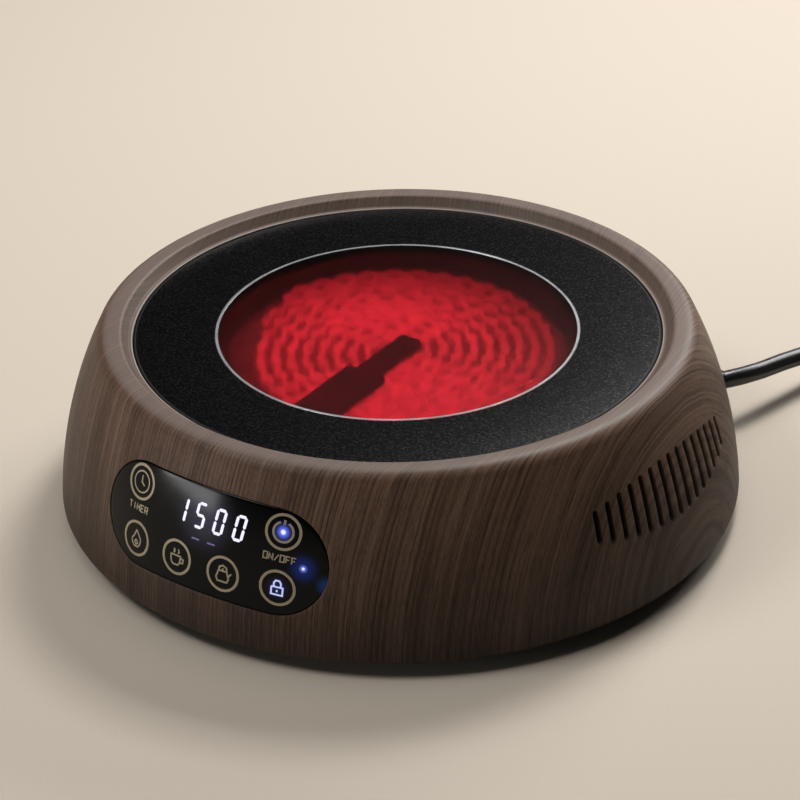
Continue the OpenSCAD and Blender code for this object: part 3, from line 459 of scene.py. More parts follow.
@dataclass(frozen=True)
class Moulded:
    """Moulded, cast or drawn material with slight mottling and a fine grain."""

    name: str
    colour: tuple[float, float, float]
    roughness: float = 0.5
    metallic: float = 0.0
    grain: float = 1400.0
    mottle: float = 0.25
    relief: float = 0.12

    def make(self) -> Mat:
        """Build the material.

        Returns:
            The material.
        """
        s = Sketch(self.name)
        fine = s.noise(s.origin, self.grain, 3, 0.6)
        cloud = s.noise(s.origin, self.grain / 22, 3, 0.55)
        both = s.math("ADD", s.math("MULTIPLY", fine, 0.4), s.math("MULTIPLY", cloud, 0.6))
        low = [c * (1 - self.mottle) for c in self.colour]
        high = [min(1.0, c * (1 + self.mottle)) for c in self.colour]
        s.put(Base_Color=s.ramp(both, (0.3, tone(*low)), (0.7, tone(*high))), Metallic=self.metallic,
              Roughness=s.span(both, 0.3, 0.7, self.roughness - 0.06, self.roughness + 0.08))
        s.bump(fine, self.relief, 0.1)
        return s.material


@dataclass(frozen=True)
class WoodGrain:
    """Satin wood-grain print: upright growth planes that the round wall cuts into lines and arches, with
    painted shade that makes it darker towards the foot and lighter towards the rim.
    """

    dark: Colour = (0.008, 0.0042, 0.0027, 1)
    middle: Colour = (0.050, 0.0278, 0.018, 1)
    pale: Colour = (0.128, 0.079, 0.055, 1)
    edge_tone: Colour = (0.26, 0.22, 0.20, 1)
    # Colour of the crest: partly a paler print, partly a painted highlight.
    crest_print_and_highlight: Colour = (0.15, 0.124, 0.116, 1)
    slope_tone: Colour = (0.105, 0.082, 0.07, 1)
    # Painted shade: heights and gains that scale the grain darker towards the foot and lighter towards the
    # rim.
    painted_shade_z: Pair = (8.0, 60.0)
    shade: Pair = (0.53, 1.36)
    line_pitch: float = 1.55
    heart: Pair = (-460.0, -40.0)
    lip_r: Pair = (90.7, 91.1)
    lip_z: Pair = (62.9, 63.2)
    crest_r: Pair = (93.3, 94.0)
    crest_z: Pair = (66.1, 66.85)
    slope_z: Pair = (62.0, 62.6)
    crest_print_and_highlight_share: float = 0.55
    slope_share: float = 0.65
    line_depth: float = -0.24
    pore_depth: float = -0.2
    bends: tuple[tuple[float, ...], ...] = ((0.3, 13, 1, 4.5), (0.2, 60, 2, 0.9))
    streaks: tuple[tuple[float, ...], ...] = ((0.1, 3.0, 0.45), (0.8, 0.0, 0.38), (2.6, 5.0, 0.5))

    @staticmethod
    def streak(s: Sketch, across: Socket, z: Socket, rate: float, seed: float, detail: float = 2,
               along: float = 0.012) -> Socket:
        """Noise that changes across the grain and hardly along it.

        Args:
            s: Material that it belongs to.
            across: Distance across the grain.
            z: Height, along the grain.
            rate: How fast it changes across the grain.
            seed: Number that tells one streak from another.
            detail: Detail of the noise.
            along: How fast it changes along the grain.
        Returns:
            The noise, from 0 to 1.
        """
        where = s.node("CombineXYZ", s.math("MULTIPLY", across, rate), seed, s.math("MULTIPLY", z, along))
        return s.noise(where.outputs[0], 1.0, detail, 0.6)

    def make(self) -> Mat:
        """Build the material.

        Returns:
            The material.
        """
        s = Sketch("wood_grain")
        z = s.node("SeparateXYZ", s.place((1000, 1000, 1000))).outputs[2]
        across = s.from_axis(self.heart)
        for along, scale, detail, reach in self.bends:
            bend = s.math("SUBTRACT", s.noise(s.place((1, 1, along)), scale, detail), 0.5)
            across = s.math("ADD", across, s.math("MULTIPLY", bend, reach))
        phase = s.math("FRACT", s.math("DIVIDE", across, self.line_pitch))
        line = s.ramp(phase, (0.0, tone(0, 0, 0)), (0.5, tone(0.1, 0.1, 0.1)), (0.82, tone(1, 1, 1)),
                      (0.92, tone(0.8, 0.8, 0.8)), (1.0, tone(0, 0, 0)))
        keep = s.span(self.streak(s, across, z, 0.3, 7.0, 1), 0.35, 0.65, 0.1, 1.0)
        level = s.math("MULTIPLY", s.math("MULTIPLY", line, keep), self.line_depth)
        pores = s.span(self.streak(s, across, z, 3.4, 11.0, 1, 0.13), 0.56, 0.7, 0.0, self.pore_depth)
        level = s.math("ADD", level, pores)
        parts = [(self.streak(s, across, z, rate, seed), weight) for rate, seed, weight in self.streaks]
        for part, weight in parts + [(s.noise(s.place((1, 1, 0.03)), 1600, 3, 0.6), 0.3)]:
            level = s.math("ADD", level, s.math("MULTIPLY", part, weight))
        colour = s.ramp(level, (0.3, self.dark), (0.68, self.middle), (1.0, self.pale))
        # Painted shade: the grain is scaled darker towards the foot and lighter towards the rim.
        with_painted_shade = s.node("VectorMath", colour, operation="SCALE")
        s.wire(with_painted_shade, Scale=s.span(z, *self.painted_shade_z, *self.shade))
        out = s.from_axis()
        near = s.math("MULTIPLY", s.span(out, *self.lip_r, 1.0, 0.0), s.span(z, *self.lip_z, 0.0, 1.0))
        # Paler band on the crest: partly a paler print, partly a painted highlight.
        above = s.span(z, *self.crest_z, 0.0, self.crest_print_and_highlight_share, "SMOOTHSTEP")
        crest = s.math("MULTIPLY", above, s.span(out, *self.crest_r, 0.0, 1.0))
        within = s.span(out, *self.crest_r, self.slope_share, 0.0)
        slope = s.math("MULTIPLY", within, s.span(z, *self.slope_z, 0.0, 1.0))
        # printed also carries the painted shade and the crest's painted highlight.
        printed = s.mix(slope, s.mix(crest, with_painted_shade.outputs[0], self.crest_print_and_highlight), self.slope_tone)
        s.put(Base_Color=s.mix(near, printed, self.edge_tone), Specular_IOR_Level=0.2,
              Roughness=s.span(level, 0.3, 1.0, 0.58, 0.46))
        s.bump(level, 0.2, 0.1)
        return s.material


@dataclass(frozen=True)
class ClearGlass:
    """Dark red glass-ceramic that lets the glow through."""

    tint: Colour = (0.46, 0.12, 0.14, 1)

    def make(self) -> Mat:
        """Build the material.

        Returns:
            The material.
        """
        s = Sketch("glass_ceramic")
        s.put(Base_Color=self.tint, Transmission_Weight=1.0, IOR=1.15, Roughness=0.29)
        s.bump(s.noise(s.origin, 480, 2, 0.6), 0.7, 0.24)
        return s.material


@dataclass(frozen=True)
class SpeckledPrint:
    """Black border print with a fine grey speckle."""

    black: Colour = (0.0008, 0.0008, 0.001, 1)
    grey: Colour = (0.005, 0.005, 0.0062, 1)
    edge: Pair = (89.0, 89.4)

    def make(self) -> Mat:
        """Build the material.

        Returns:
            The material.
        """
        s = Sketch("speckled_print")
        grain = s.noise(s.origin, 1150, 2, 0.6)
        speck = s.span(grain, 0.45, 0.75, 0.0, 1.0)
        dull = s.span(s.from_axis(), *self.edge, 0.0, 0.8)
        s.put(Base_Color=s.mix(speck, self.black, self.grey), Specular_IOR_Level=0.3,
              Roughness=s.math("MAXIMUM", s.span(grain, 0.3, 0.7, 0.2, 0.3), dull))
        s.bump(grain, 0.15, 0.3)
        return s.material


@dataclass(frozen=True)
class Lit:
    """Surface that gives light of its own, uneven like a hot or backlit one, and where a spot is given,
    painted dimmer away from it as painted shade.
    """

    name: str
    colour: tuple[float, float, float]
    strength: float
    unevenness: float = 0.0
    grain: float = 300.0
    # Where given, the glow is painted dimmer away from this spot: painted shade.
    hot: Pair | None = None
    painted_shade_reach: Pair = (40.0, 70.0)
    painted_shade_floor: float = 0.3

    def make(self) -> Mat:
        """Build the material, with painted shade that dims it away from its brightest spot where it has one.

        Returns:
            The material.
        """
        s = Sketch(self.name)
        power = self.strength
        s.put(Base_Color=tone(*(0.3 * c for c in self.colour)), Roughness=0.5, Emission_Strength=power)
        if self.hot:
            # Painted shade: the glow dims away from the brightest spot.
            s.put(Emission_Strength=s.span(s.from_axis(self.hot), *self.painted_shade_reach, power, power * self.painted_shade_floor))
        low = tone(*(c * (1 - self.unevenness) for c in self.colour))
        cloud = s.noise(s.origin, self.grain, 2)
        s.put(Emission_Color=s.ramp(cloud, (0.35, low), (0.6, tone(*self.colour))))
        return s.material


@dataclass(frozen=True)
class LampSpot:
    """Small lamp behind a dark panel: white in the middle, blue round it, dark at its edge."""

    name: str
    reach: float
    hot: Colour = (0.86, 0.90, 1.0, 1)
    blue: Colour = (0.10, 0.14, 0.80, 1)
    rim: Colour = (0.012, 0.018, 0.10, 1)

    def make(self, middle: Vector) -> Mat:
        """Build the material for a lamp at a place in millimetres.

        Args:
            middle: The place.
        Returns:
            The material.
        """
        s = Sketch(self.name)
        share = s.math("DIVIDE", s.from_point(middle), self.reach * MM)
        light = s.ramp(share, (0.0, self.hot), (0.22, self.hot), (0.46, self.blue), (1.0, self.rim))
        s.put(Base_Color=(0.004, 0.004, 0.006, 1), Roughness=0.2, Emission_Color=light, Emission_Strength=1.0)
        return s.material


# Places on the panel, right and up from its middle

TIMER_AT: Pair = (-28.8, 10.6)
POWER_AT: Pair = (28.0, 10.6)
LOCK_AT: Pair = (28.4, -8.2)
STATUS_AT: Pair = (36.0, 0.2)


class Glow(Enum):
    """Lamps behind the panel, and a painted blue glint at its right end: place on it, reach and light."""

    DIGITS = ((0.0, 7.4), 15.0, (0.024, 0.023, 0.037))
    POWER = (POWER_AT, 4.6, (0.030, 0.045, 0.260))
    STATUS = (STATUS_AT, 6.5, (0.003, 0.012, 0.085))
    LOCK = (LOCK_AT, 5.0, (0.006, 0.010, 0.050))
    # Painted glint: a blue reflection at the panel's right end, with no lamp behind it.
    EDGE = ((43.4, -4.0), 4.6, (0.002, 0.014, 0.060))


@dataclass(frozen=True)
class GlossPanel:
    """Glossy black panel with a faint glow round its lamps and a painted blue glint at its right end."""

    black: Colour = (0.001, 0.001, 0.0012, 1)

    def make(self, panel: "Panel") -> Mat:
        """Build the material for a panel whose places are known.

        Args:
            panel: The panel.
        Returns:
            The material.
        """
        s = Sketch("gloss_panel")
        total = None
        for glow in Glow:
            at, reach, colour = glow.value
            away = s.from_point(panel.spot(at, panel.face))
            share = s.span(away, 0.0, reach * MM, 1.0, 0.0, "SMOOTHERSTEP")
            light = s.mix(share, tone(0, 0, 0), tone(*colour))
            total = light if total is None else s.mix(1.0, total, light, "ADD")
        s.put(Base_Color=self.black, Roughness=0.15, IOR=1.5, Specular_IOR_Level=0.15, Emission_Color=total,
              Emission_Strength=1.0)
        s.bump(s.noise(s.origin, 90, 2), 0.015, 0.1)
        return s.material


# The round body

@dataclass
class Body:
    """Housing with its curved wall, rim, vents and panel recess; sizes in millimetres."""

    curve_r: float = 150.0
    curve_c: Pair = (-31.7109, -2.30803)
    shoulder_c: Pair = (98.0, 61.6)
    shoulder_r: float = 5.4
    shoulder_a: float = 26.2304
    top: float = 67.0
    foot: float = 5.0
    edge_r: float = 2.0
    wall: float = 2.6
    rim_in: float = 94.3
    lip: Pair = (91.7, 63.5)
    pocket_r: float = 90.4
    seat_z: float = 58.4
    ledge: Pair = (84.0, 55.9)
    hook: Pair = (93.0, 60.89)
    hook_r: float = 95.607
    rounds: tuple[float, float, float] = (0.9, 0.5, 0.4)
    print_depth: float = 0.9
    wall_z: float = 62.0
    dark_z: float = 57.0
    dark_pocket: Pair = (90.6, 62.6)
    vent_count: int = 15
    vent_width: float = 2.0
    vent_step: float = 2.74
    vent_turn: float = -2.0
    vent_z: float = 39.8
    vent_heights: Pair = (10.8, 21.0)
    vent_round: float = 0.35
    steps: int = 320

    def radius(self, z: float, depth: float = 0.0) -> float:
        """Radius of the wall at a height, at a depth below its outside."""
        return self.curve_c[0] + math.sqrt((self.curve_r - depth) ** 2 - (z - self.curve_c[1]) ** 2)

    def section(self) -> list[Pair]:
        """Closed section of the housing, from its bottom edge up the outside and down the inside.

        Returns:
            Points of radius and height.
        """
        edge_z = self.foot + self.edge_r
        rise = edge_z - self.curve_c[1]
        edge_c = (self.curve_c[0] + math.sqrt((self.curve_r - self.edge_r) ** 2 - rise ** 2), edge_z)
        edge_a = math.degrees(math.atan2(rise, edge_c[0] - self.curve_c[0]))
        inner_r = self.curve_r - self.wall
        low_a = math.degrees(math.asin((self.foot - self.curve_c[1]) / inner_r))
        rim, lip, mouth = (self.rim_in, self.top), self.lip, (self.pocket_r, self.lip[1])
        return (arc(edge_c, self.edge_r, -90, edge_a, 6)
                + arc(self.curve_c, self.curve_r, edge_a, self.shoulder_a, 28, 1)
                + arc(self.shoulder_c, self.shoulder_r, self.shoulder_a, 90, 12, 1)
                + rounded((self.shoulder_c[0], self.top), rim, lip, self.rounds[0])
                + rounded(rim, lip, mouth, self.rounds[1])
                + rounded(lip, mouth, (self.pocket_r, self.seat_z), self.rounds[2], 4)
                + [(self.pocket_r, self.seat_z), (self.ledge[0], self.seat_z), self.ledge,
                   (self.hook[0], self.ledge[1]), self.hook, (self.hook_r, self.top - self.wall)]
                + arc(self.shoulder_c, self.shoulder_r - self.wall, 90, self.shoulder_a, 6)
                + arc(self.curve_c, inner_r, self.shoulder_a, low_a, 18, 1))

    def vent_cutter(self, turn: float, height: float) -> Obj:
        """Cutter for one slot, flared where it meets the outside.

        Args:
            turn: Angle of the slot about the upright axis, in degrees.
            height: Height of the slot.
        Returns:
            The cutter.
        """
        a = math.radians(turn)
        out, side = Vector((math.cos(a), math.sin(a), 0)), Vector((-math.sin(a), math.cos(a), 0))
        e = self.vent_round
        rows = []
        for widen, depth in ((2.2 * e, -1.2 * e), (e, 0.0), (0.38 * e, 0.35 * e), (0.0, 1.2 * e), (0.0, 9.0)):
            half, r = height / 2 - self.vent_width / 2, self.vent_width / 2 + widen
            row = []
            for h, t in stadium(r, half, 10, 8):
                reach = self.radius(self.vent_z + h, depth)
                row.append(out * math.sqrt(reach ** 2 - t ** 2) + side * t + Vector((0, 0, self.vent_z + h)))
            rows.append(row)
        return skinned("vent_cutter", rows)

    def vent_cutters(self) -> Obj:
        """Cutters for the slots on both sides, in one mesh.

        Returns:
            The cutters.
        """
        half = (self.vent_count - 1) // 2
        low, high = self.vent_heights
        made = []
        for i in range(-half, half + 1):
            height = low + (high - low) * (1 - (i / half) ** 2)
            turn = self.vent_turn + i * self.vent_step
            made += [self.vent_cutter(turn, height), self.vent_cutter(180 - turn, height)]
        return joined("vent_cutters", made)

    def build(self, panel: "Panel", gland: "Gland", wood: Mat, dark: Mat) -> None:
        """Model the housing and dress it.

        Args:
            panel: Panel whose recess is cut.
            gland: Cord bushing whose seat is cut.
            wood: Finish of the outside.
            dark: Finish of the inside.
        """
        shell = spun("housing", self.section(), self.steps)
        for cutter in (gland.cutter(), self.vent_cutters(), panel.recess_cutter(), panel.window_cutter()):
            carve(shell, cutter)
        smooth(shell, 32)
        settle(shell, "wood_grain_shell", wood, dark, replaces=("housing_shell",))
        for face in shell.data.polygons:
            x, y, z = face.center / MM
            r, (pocket_r, pocket_z) = math.hypot(x, y), self.dark_pocket
            inside = self.radius(min(z, self.wall_z)) - r > self.print_depth
            face.material_index = int(inside and (z < self.dark_z or r < pocket_r and z < pocket_z))


# Cord bushing

@dataclass
class Gland:
    """Bushing where the cord leaves the wall."""

    turn: float = 54.5
    z: float = 16.0
    spot_r: float = 116.04
    flange: float = 3.0
    nose: float = 5.0
    inner: float = 100.0
    cord_r: float = 3.25
    hole_r: float = 4.7
    seat_r: float = 5.8
    cut: Pair = (101.0, 128.0)

    def out(self) -> Vector:
        """Direction in which the cord leaves."""
        a = math.radians(self.turn)
        return Vector((math.cos(a), math.sin(a), 0))

    def along(self, profile: list[Pair], name: str, steps: int = 48) -> Obj:
        """Spin a profile of radius and distance from the middle about the bushing's own axis.

        Args:
            profile: Points of radius and distance.
            name: Name of the piece.
            steps: Number of steps in the full turn.
        Returns:
            The new mesh object.
        """
        out = self.out()
        side = Vector((-out.y, out.x, 0))
        up = Vector((0, 0, 1))
        rows = []
        for r, d in profile:
            turns = [math.tau * (i + 0.5) / steps for i in range(steps)]
            rows.append([out * d + up * self.z + (side * math.cos(a) + up * math.sin(a)) * max(r, 1e-3)
                         for a in turns])
        return skinned(name, rows)

    def cutter(self) -> Obj:
        """Cutter for the bushing's hole and its round seat in the wall."""
        hole, seat, spot, (near, far) = self.hole_r, self.seat_r, self.spot_r, self.cut
        return self.along([(hole, near), (hole, spot), (seat, spot), (seat, far)], "gland_cutter")

    def build(self, finish: Mat) -> None:
        """Model the bushing, with grooves on its nose, and dress it.

        Args:
            finish: Its finish.
        """
        face, end, r = self.spot_r + self.flange, self.spot_r + self.flange + self.nose, self.cord_r
        nose = []
        for i in range(13):
            t = i / 12
            groove = 0.22 * (math.sin(t * math.tau * 2.5) ** 2)
            nose.append((4.5 + (r + 0.5 - 4.5) * t - groove * (t < 1), face + self.nose * t))
        profile = [(r, self.inner), (r, 111.0), (5.5, 111.0), (5.5, 112.6), (4.6, 112.6), (4.6, self.spot_r),
                   (5.2, self.spot_r), (5.5, self.spot_r + 0.3), (5.5, face - 0.9), (5.35, face - 0.4),
                   (5.0, face - 0.1)] + nose + [(r + 0.1, end), (r - 0.4, end)]
        piece = smooth(self.along(profile, "bushing"), 40)
        settle(piece, "cord_jacket", finish, replaces=("strain_relief",))


# Touch panel

LETTERS: dict[str, list[list[Pair]]] = {
    "O": [[(0, 0), (1, 0), (1, 1), (0, 1), (0, -0.12)]],
    "N": [[(0, 0), (0, 1), (1, 0), (1, 1)]],
    "/": [[(0, 0), (1, 1)]],
    "F": [[(0, 0), (0, 1), (1, 1)], [(0, 0.5), (0.8, 0.5)]],
    "T": [[(0, 1), (1, 1)], [(0.5, 1), (0.5, 0)]],
    "I": [[(0.5, 0), (0.5, 1)]],
    "M": [[(0, 0), (0, 1), (0.5, 0.4), (1, 1), (1, 0)]],
    "E": [[(1, 0), (0, 0), (0, 1), (1, 1)], [(0, 0.5), (0.8, 0.5)]],
    "R": [[(0, 0), (0, 1), (1, 1), (1, 0.5), (0, 0.5)], [(0.4, 0.5), (1, 0)]],
}

SEGMENTS: dict[str, str] = {"0": "abcdef", "1": "bc", "5": "acdfg"}


class Sign(Enum):
    """Pictograms on the keys, as strokes about the key's middle."""

    CLOCK = ([(0, 2.3), (0, 0), (1.5, -1.1)],)
    FLAME = ([(0, 3.1), (1.1, 1.6), (2.1, 0.1), (1.9, -1.6), (0.8, -2.7), (-0.8, -2.7), (-1.9, -1.6),
              (-2.0, -0.2), (-1.2, 0.7), (-0.7, 1.7), (0, 3.1)],
             [(0, -0.2), (0.8, -1.3), (0, -2.0), (-0.8, -1.3), (0, -0.2)])
    CUP = ([(-2.4, 0.7), (-2.1, -1.6), (-1.3, -2.5), (0.7, -2.5), (1.5, -1.6), (1.8, 0.7), (-2.4, 0.7)],
           [(1.8, 0.1), (2.9, -0.1), (2.8, -1.3), (1.5, -1.6)],
           [(-1.2, 1.4), (-0.8, 2.1), (-1.2, 2.9)], [(0.6, 1.4), (1.0, 2.1), (0.6, 2.9)])
    KETTLE = ([(-1.6, 1.1), (-2.3, -1.3), (-1.8, -2.5), (1.8, -2.5), (2.3, -1.3), (1.6, 1.1), (-1.6, 1.1)],
              [(2.0, -0.7), (3.2, 0.9)], [(-1.5, 1.3), (-1.3, 2.4), (0, 3.0), (1.3, 2.4), (1.5, 1.3)],
              [(-0.4, 1.7), (0.4, 1.7)])
    LOCK = ([(-2.1, 0.3), (2.1, 0.3), (2.1, -2.6), (-2.1, -2.6), (-2.1, 0.3)], [(0, -0.8), (0, -1.6)],
            [(-1.3, 0.5), (-1.3, 1.8), (-0.7, 2.7), (0.7, 2.7), (1.3, 1.8), (1.3, 0.5)])


LOWER_ROW: tuple[tuple[str, Sign, float], ...] = (
    ("warm_key", Sign.FLAME, -28.3), ("tea_key", Sign.CUP, -9.5), ("boil_key", Sign.KETTLE, 9.1))


@dataclass
class Panel:
    """Curved touch panel with its keys, digits and lamps; u runs right and v runs up the wall."""

    body: Body
    width: float = 87.6
    height: float = 35.6
    middle_z: float = 38.0
    face: float = 0.25
    thickness: float = 1.4
    gap: float = 0.15
    edge: float = 0.4
    print_t: float = 0.05
    digit_h: float = 9.0
    digit_w: float = 4.0
    digit_pitch: float = 7.5
    digit_v: float = 7.9
    digit_bar: float = 0.98
    digit_u: float = 2.0
    lean: float = 0.13
    key_r: float = 6.1
    key_line: float = 0.9
    row_v: float = -8.8
    row_sign_v: float = -8.9
    word_v: float = 1.9
    word_line: float = 0.42
    mark_line: float = 0.75
    reading: str = "1500"
    unit_u: Pair = (-2.6, 3.6)

    def spot(self, at: Pair, depth: float) -> Vector:
        """Point of the wall in front of a place on the panel, at a depth below its outside.

        Args:
            at: The place.
            depth: The depth.
        Returns:
            The point in millimetres.
        """
        body = self.body
        tilt = math.asin((self.middle_z - body.curve_c[1]) / body.curve_r)
        up = Vector((0, math.sin(tilt), math.cos(tilt)))
        out = Vector((0, -math.cos(tilt), math.sin(tilt)))
        base = Vector((at[0], -body.radius(self.middle_z), self.middle_z)) + up * at[1]
        w = 0.0
        for _ in range(6):
            p = base + out * w
            w -= math.hypot(p.x, p.y) - body.radius(p.z, depth)
        return base + out * w

    def outline(self, inset: float, depth: float) -> list[Vector]:
        """Outline of the panel on the wall, drawn in by a distance, at a depth."""
        r = self.height / 2
        return [self.spot(at, depth) for at in stadium(r - inset, self.width / 2 - r)]

    def recess_cutter(self) -> Obj:
        """Cutter for the recess that holds the panel, with a soft outer edge.

        Returns:
            The cutter.
        """
        g, deep = -self.gap, self.face + self.thickness + 0.15
        steps = (4.0, 8.0, 12.0, self.height / 2)
        rows = [self.outline(i, -2.0) for i in reversed(steps)]
        rows += [self.outline(g - 2.0, -2.0), self.outline(g - 0.35, 0.0), self.outline(g - 0.1, 0.12),
                 self.outline(g, 0.35), self.outline(g, deep)]
        return skinned("recess_cutter", rows + [self.outline(i, deep) for i in steps])

    def window_cutter(self) -> Obj:
        """Cutter for the window behind the panel.

        Returns:
            The cutter.
        """
        steps = (6.0, 10.0, 14.0, self.height / 2)
        rows = [self.outline(i, 1.2) for i in reversed(steps)]
        rows += [self.outline(2.5, d) for d in (1.2, 4.0, 7.0)]
        return skinned("window_cutter", rows + [self.outline(i, 7.0) for i in steps])

    def build_lens(self, finish: Mat) -> None:
        """Model the panel with its rounded edge.

        Args:
            finish: Its finish.
        """
        r, e = self.height / 2, self.edge
        rows = [self.outline(r - r * k / 12, self.face) for k in range(12)]
        for k in range(7):
            a = math.radians(15 * k)
            rows.append(self.outline(e * (1 - math.sin(a)), self.face + e * (1 - math.cos(a))))
        back = self.face + self.thickness
        rows += [self.outline(i, back) for i in (0.0, 4.0, 9.0, 14.0, r)]
        settle(smooth(skinned("panel_lens_piece", rows), 60), "gloss_black", finish, replaces=("panel_lens",))

    def bar(self, points: list[tuple[float, ...]], width: float) -> Obj:
        """Thin raised line on the panel.

        Args:
            points: Places along it, each u, v and, where the line narrows, its width there.
            width: Width of the line.
        Returns:
            The mesh object.
        """
        fine = []
        for p, q in zip(points, points[1:]):
            n = max(1, math.ceil(math.dist(p[:2], q[:2]) / 1.6))
            a, b = (list(k) + [width] * (3 - len(k)) for k in (p, q))
            fine += [[a[j] + (b[j] - a[j]) * i / n for j in range(3)] for i in range(n)]
        fine.append(list(points[-1]) + [width] * (3 - len(points[-1])))
        flat = [Vector(p[:2]) for p in fine]
        rows = []
        for i, (u, v, w) in enumerate(fine):
            back = (flat[i] - flat[i - 1]).normalized() if i else None
            ahead = (flat[i + 1] - flat[i]).normalized() if i + 1 < len(flat) else None
            way = ((back or ahead) + (ahead or back)).normalized()
            square = 1 / max(0.6, way.dot(ahead or back))
            side = Vector((-way.y, way.x)) * w / 2 * square
            high = self.face - self.print_t
            rows.append([self.spot((u + s * side.x, v + s * side.y), d)
                         for s, d in ((1, self.face), (1, high), (-1, high), (-1, self.face))])
        return skinned("bar", rows)

    def hoop(self, at: Pair, r: float, width: float) -> Obj:
        """Thin raised ring on the panel, of a middle radius and a width.

        Args:
            at: Its middle.
            r: The radius.
            width: The width.
        Returns:
            The mesh object.
        """
        high = self.face - self.print_t
        rows = [[self.spot(p, d) for p in arc(at, q, 0, 354.375, 63)]
                for q, d in ((r - width / 2, self.face), (r - width / 2, high), (r + width / 2, high),
                             (r + width / 2, self.face))]
        return skinned("hoop", rows, looped=True)

    def key_ring(self, at: Pair) -> Obj:
        """Ring round a key."""
        return self.hoop(at, self.key_r - self.key_line / 2, self.key_line)

    def disc(self, at: Pair, r: float) -> Obj:
        """Thin raised disc on the panel.

        Args:
            at: Its middle.
            r: Its radius.
        Returns:
            The mesh object.
        """
        high = self.face - self.print_t
        rows = [[self.spot(p, d) for p in arc(at, max(q, 1e-3), 0, 348.75, 31)]
                for q, d in ((0, high), (r / 2, high), (r, high), (r, self.face))]
        return skinned("disc", rows)

    def word(self, text: str, at: Pair) -> list[Obj]:
        """Plain small capitals centred on a place.

        Args:
            text: The word.
            at: The place.
        Returns:
            The strokes.
        """
        w, h, step = 1.3, 2.2, 1.9
        left, low = at[0] - (len(text) * step - (step - w)) / 2, at[1] - h / 2
        return [self.bar([(left + i * step + x * w, low + y * h) for x, y in stroke], self.word_line)
                for i, letter in enumerate(text) for stroke in LETTERS[letter]]

    def sign(self, sign: Sign, at: Pair, size: float, width: float) -> list[Obj]:
        """Strokes of a pictogram about a place."""
        return [self.bar([(at[0] + size * x, at[1] + size * y) for x, y in stroke], width)
                for stroke in sign.value]

    def build_keys(self, gold: Mat, lit: Mat) -> None:
        """Print the keys and light the two lamps behind them.

        Args:
            gold: Finish of the print.
            lit: Finish of a lit sign.
        """
        core = LampSpot("power_spot", 2.3).make(self.spot(POWER_AT, self.face))
        small = LampSpot("status_spot", 1.35).make(self.spot(STATUS_AT, self.face))
        timer = [self.key_ring(TIMER_AT), self.hoop(TIMER_AT, 3.55, 0.5)]
        timer += self.sign(Sign.CLOCK, TIMER_AT, 0.95, 0.55)
        pu, pv = POWER_AT
        mark = arc(POWER_AT, 3.3, 90 + 24, 450 - 24, 28)
        stem = [(pu, pv + 2.2), (pu, pv + 4.0)]
        power = [self.key_ring(POWER_AT), self.bar(mark, self.mark_line), self.bar(stem, self.mark_line)]
        pieces = {"timer_key": timer + self.word("TIMER", (TIMER_AT[0], self.word_v)),
                  "power_key": power + self.word("ON/OFF", (pu, self.word_v))}
        for name, sign, u in LOWER_ROW:
            pieces[name] = [self.key_ring((u, self.row_v))] + self.sign(sign, (u, self.row_sign_v), 1.0, 0.58)
        pieces["lock_key"] = [self.key_ring(LOCK_AT)]
        for name, parts in pieces.items():
            settle(smooth(joined(name + "_print", parts)), "gloss_black", gold)
        lock = joined("lock_sign", self.sign(Sign.LOCK, LOCK_AT, 0.9, 0.55))
        settle(smooth(lock), "display_white", lit)
        settle(smooth(self.disc(POWER_AT, 2.4)), "display_white", core).name = "power_lamp"
        settle(smooth(self.disc(STATUS_AT, 1.5)), "display_white", small).name = "status_lamp"

    def build_digits(self, lit: Mat, faint: Mat) -> None:
        """Light the digits of the power setting, and the faint unit marks below them.

        Args:
            lit: Finish of a lit segment.
            faint: Finish of the unit marks.
        """
        h, w, b = self.digit_h / 2, self.digit_w / 2, self.digit_bar
        m, cut = b / 2, 0.14
        top, mid, low, right, left = h - m, 0.0, m - h, w - m, m - w
        lines = {"a": ((left, top), (right, top)), "b": ((right, top), (right, mid)),
                 "c": ((right, mid), (right, low)), "d": ((left, low), (right, low)),
                 "e": ((left, mid), (left, low)), "f": ((left, top), (left, mid)),
                 "g": ((left, mid), (right, mid))}
        parts = []
        for i, figure in enumerate(self.reading):
            cu = self.digit_u + (i - 1.5) * self.digit_pitch
            for key in SEGMENTS[figure]:
                p, q = (Vector(k) for k in lines[key])
                way = (q - p).normalized()
                p, q = p + way * cut, q - way * cut
                spots = ((p, 0.15), (p + way * m * 0.85, b), (q - way * m * 0.85, b), (q, 0.15))
                parts.append(self.bar([(cu + k.x + self.lean * k.y, self.digit_v + k.y, width)
                                       for k, width in spots], b))
        settle(smooth(joined("lit_digits", parts)), "display_white", lit)
        marks = [self.bar([(u - 1.5, -0.2), (u + 1.5, -0.2)], 0.55) for u in self.unit_u]
        settle(smooth(joined("unit_marks", marks)), "display_white", faint)


# Cooking plate and heater

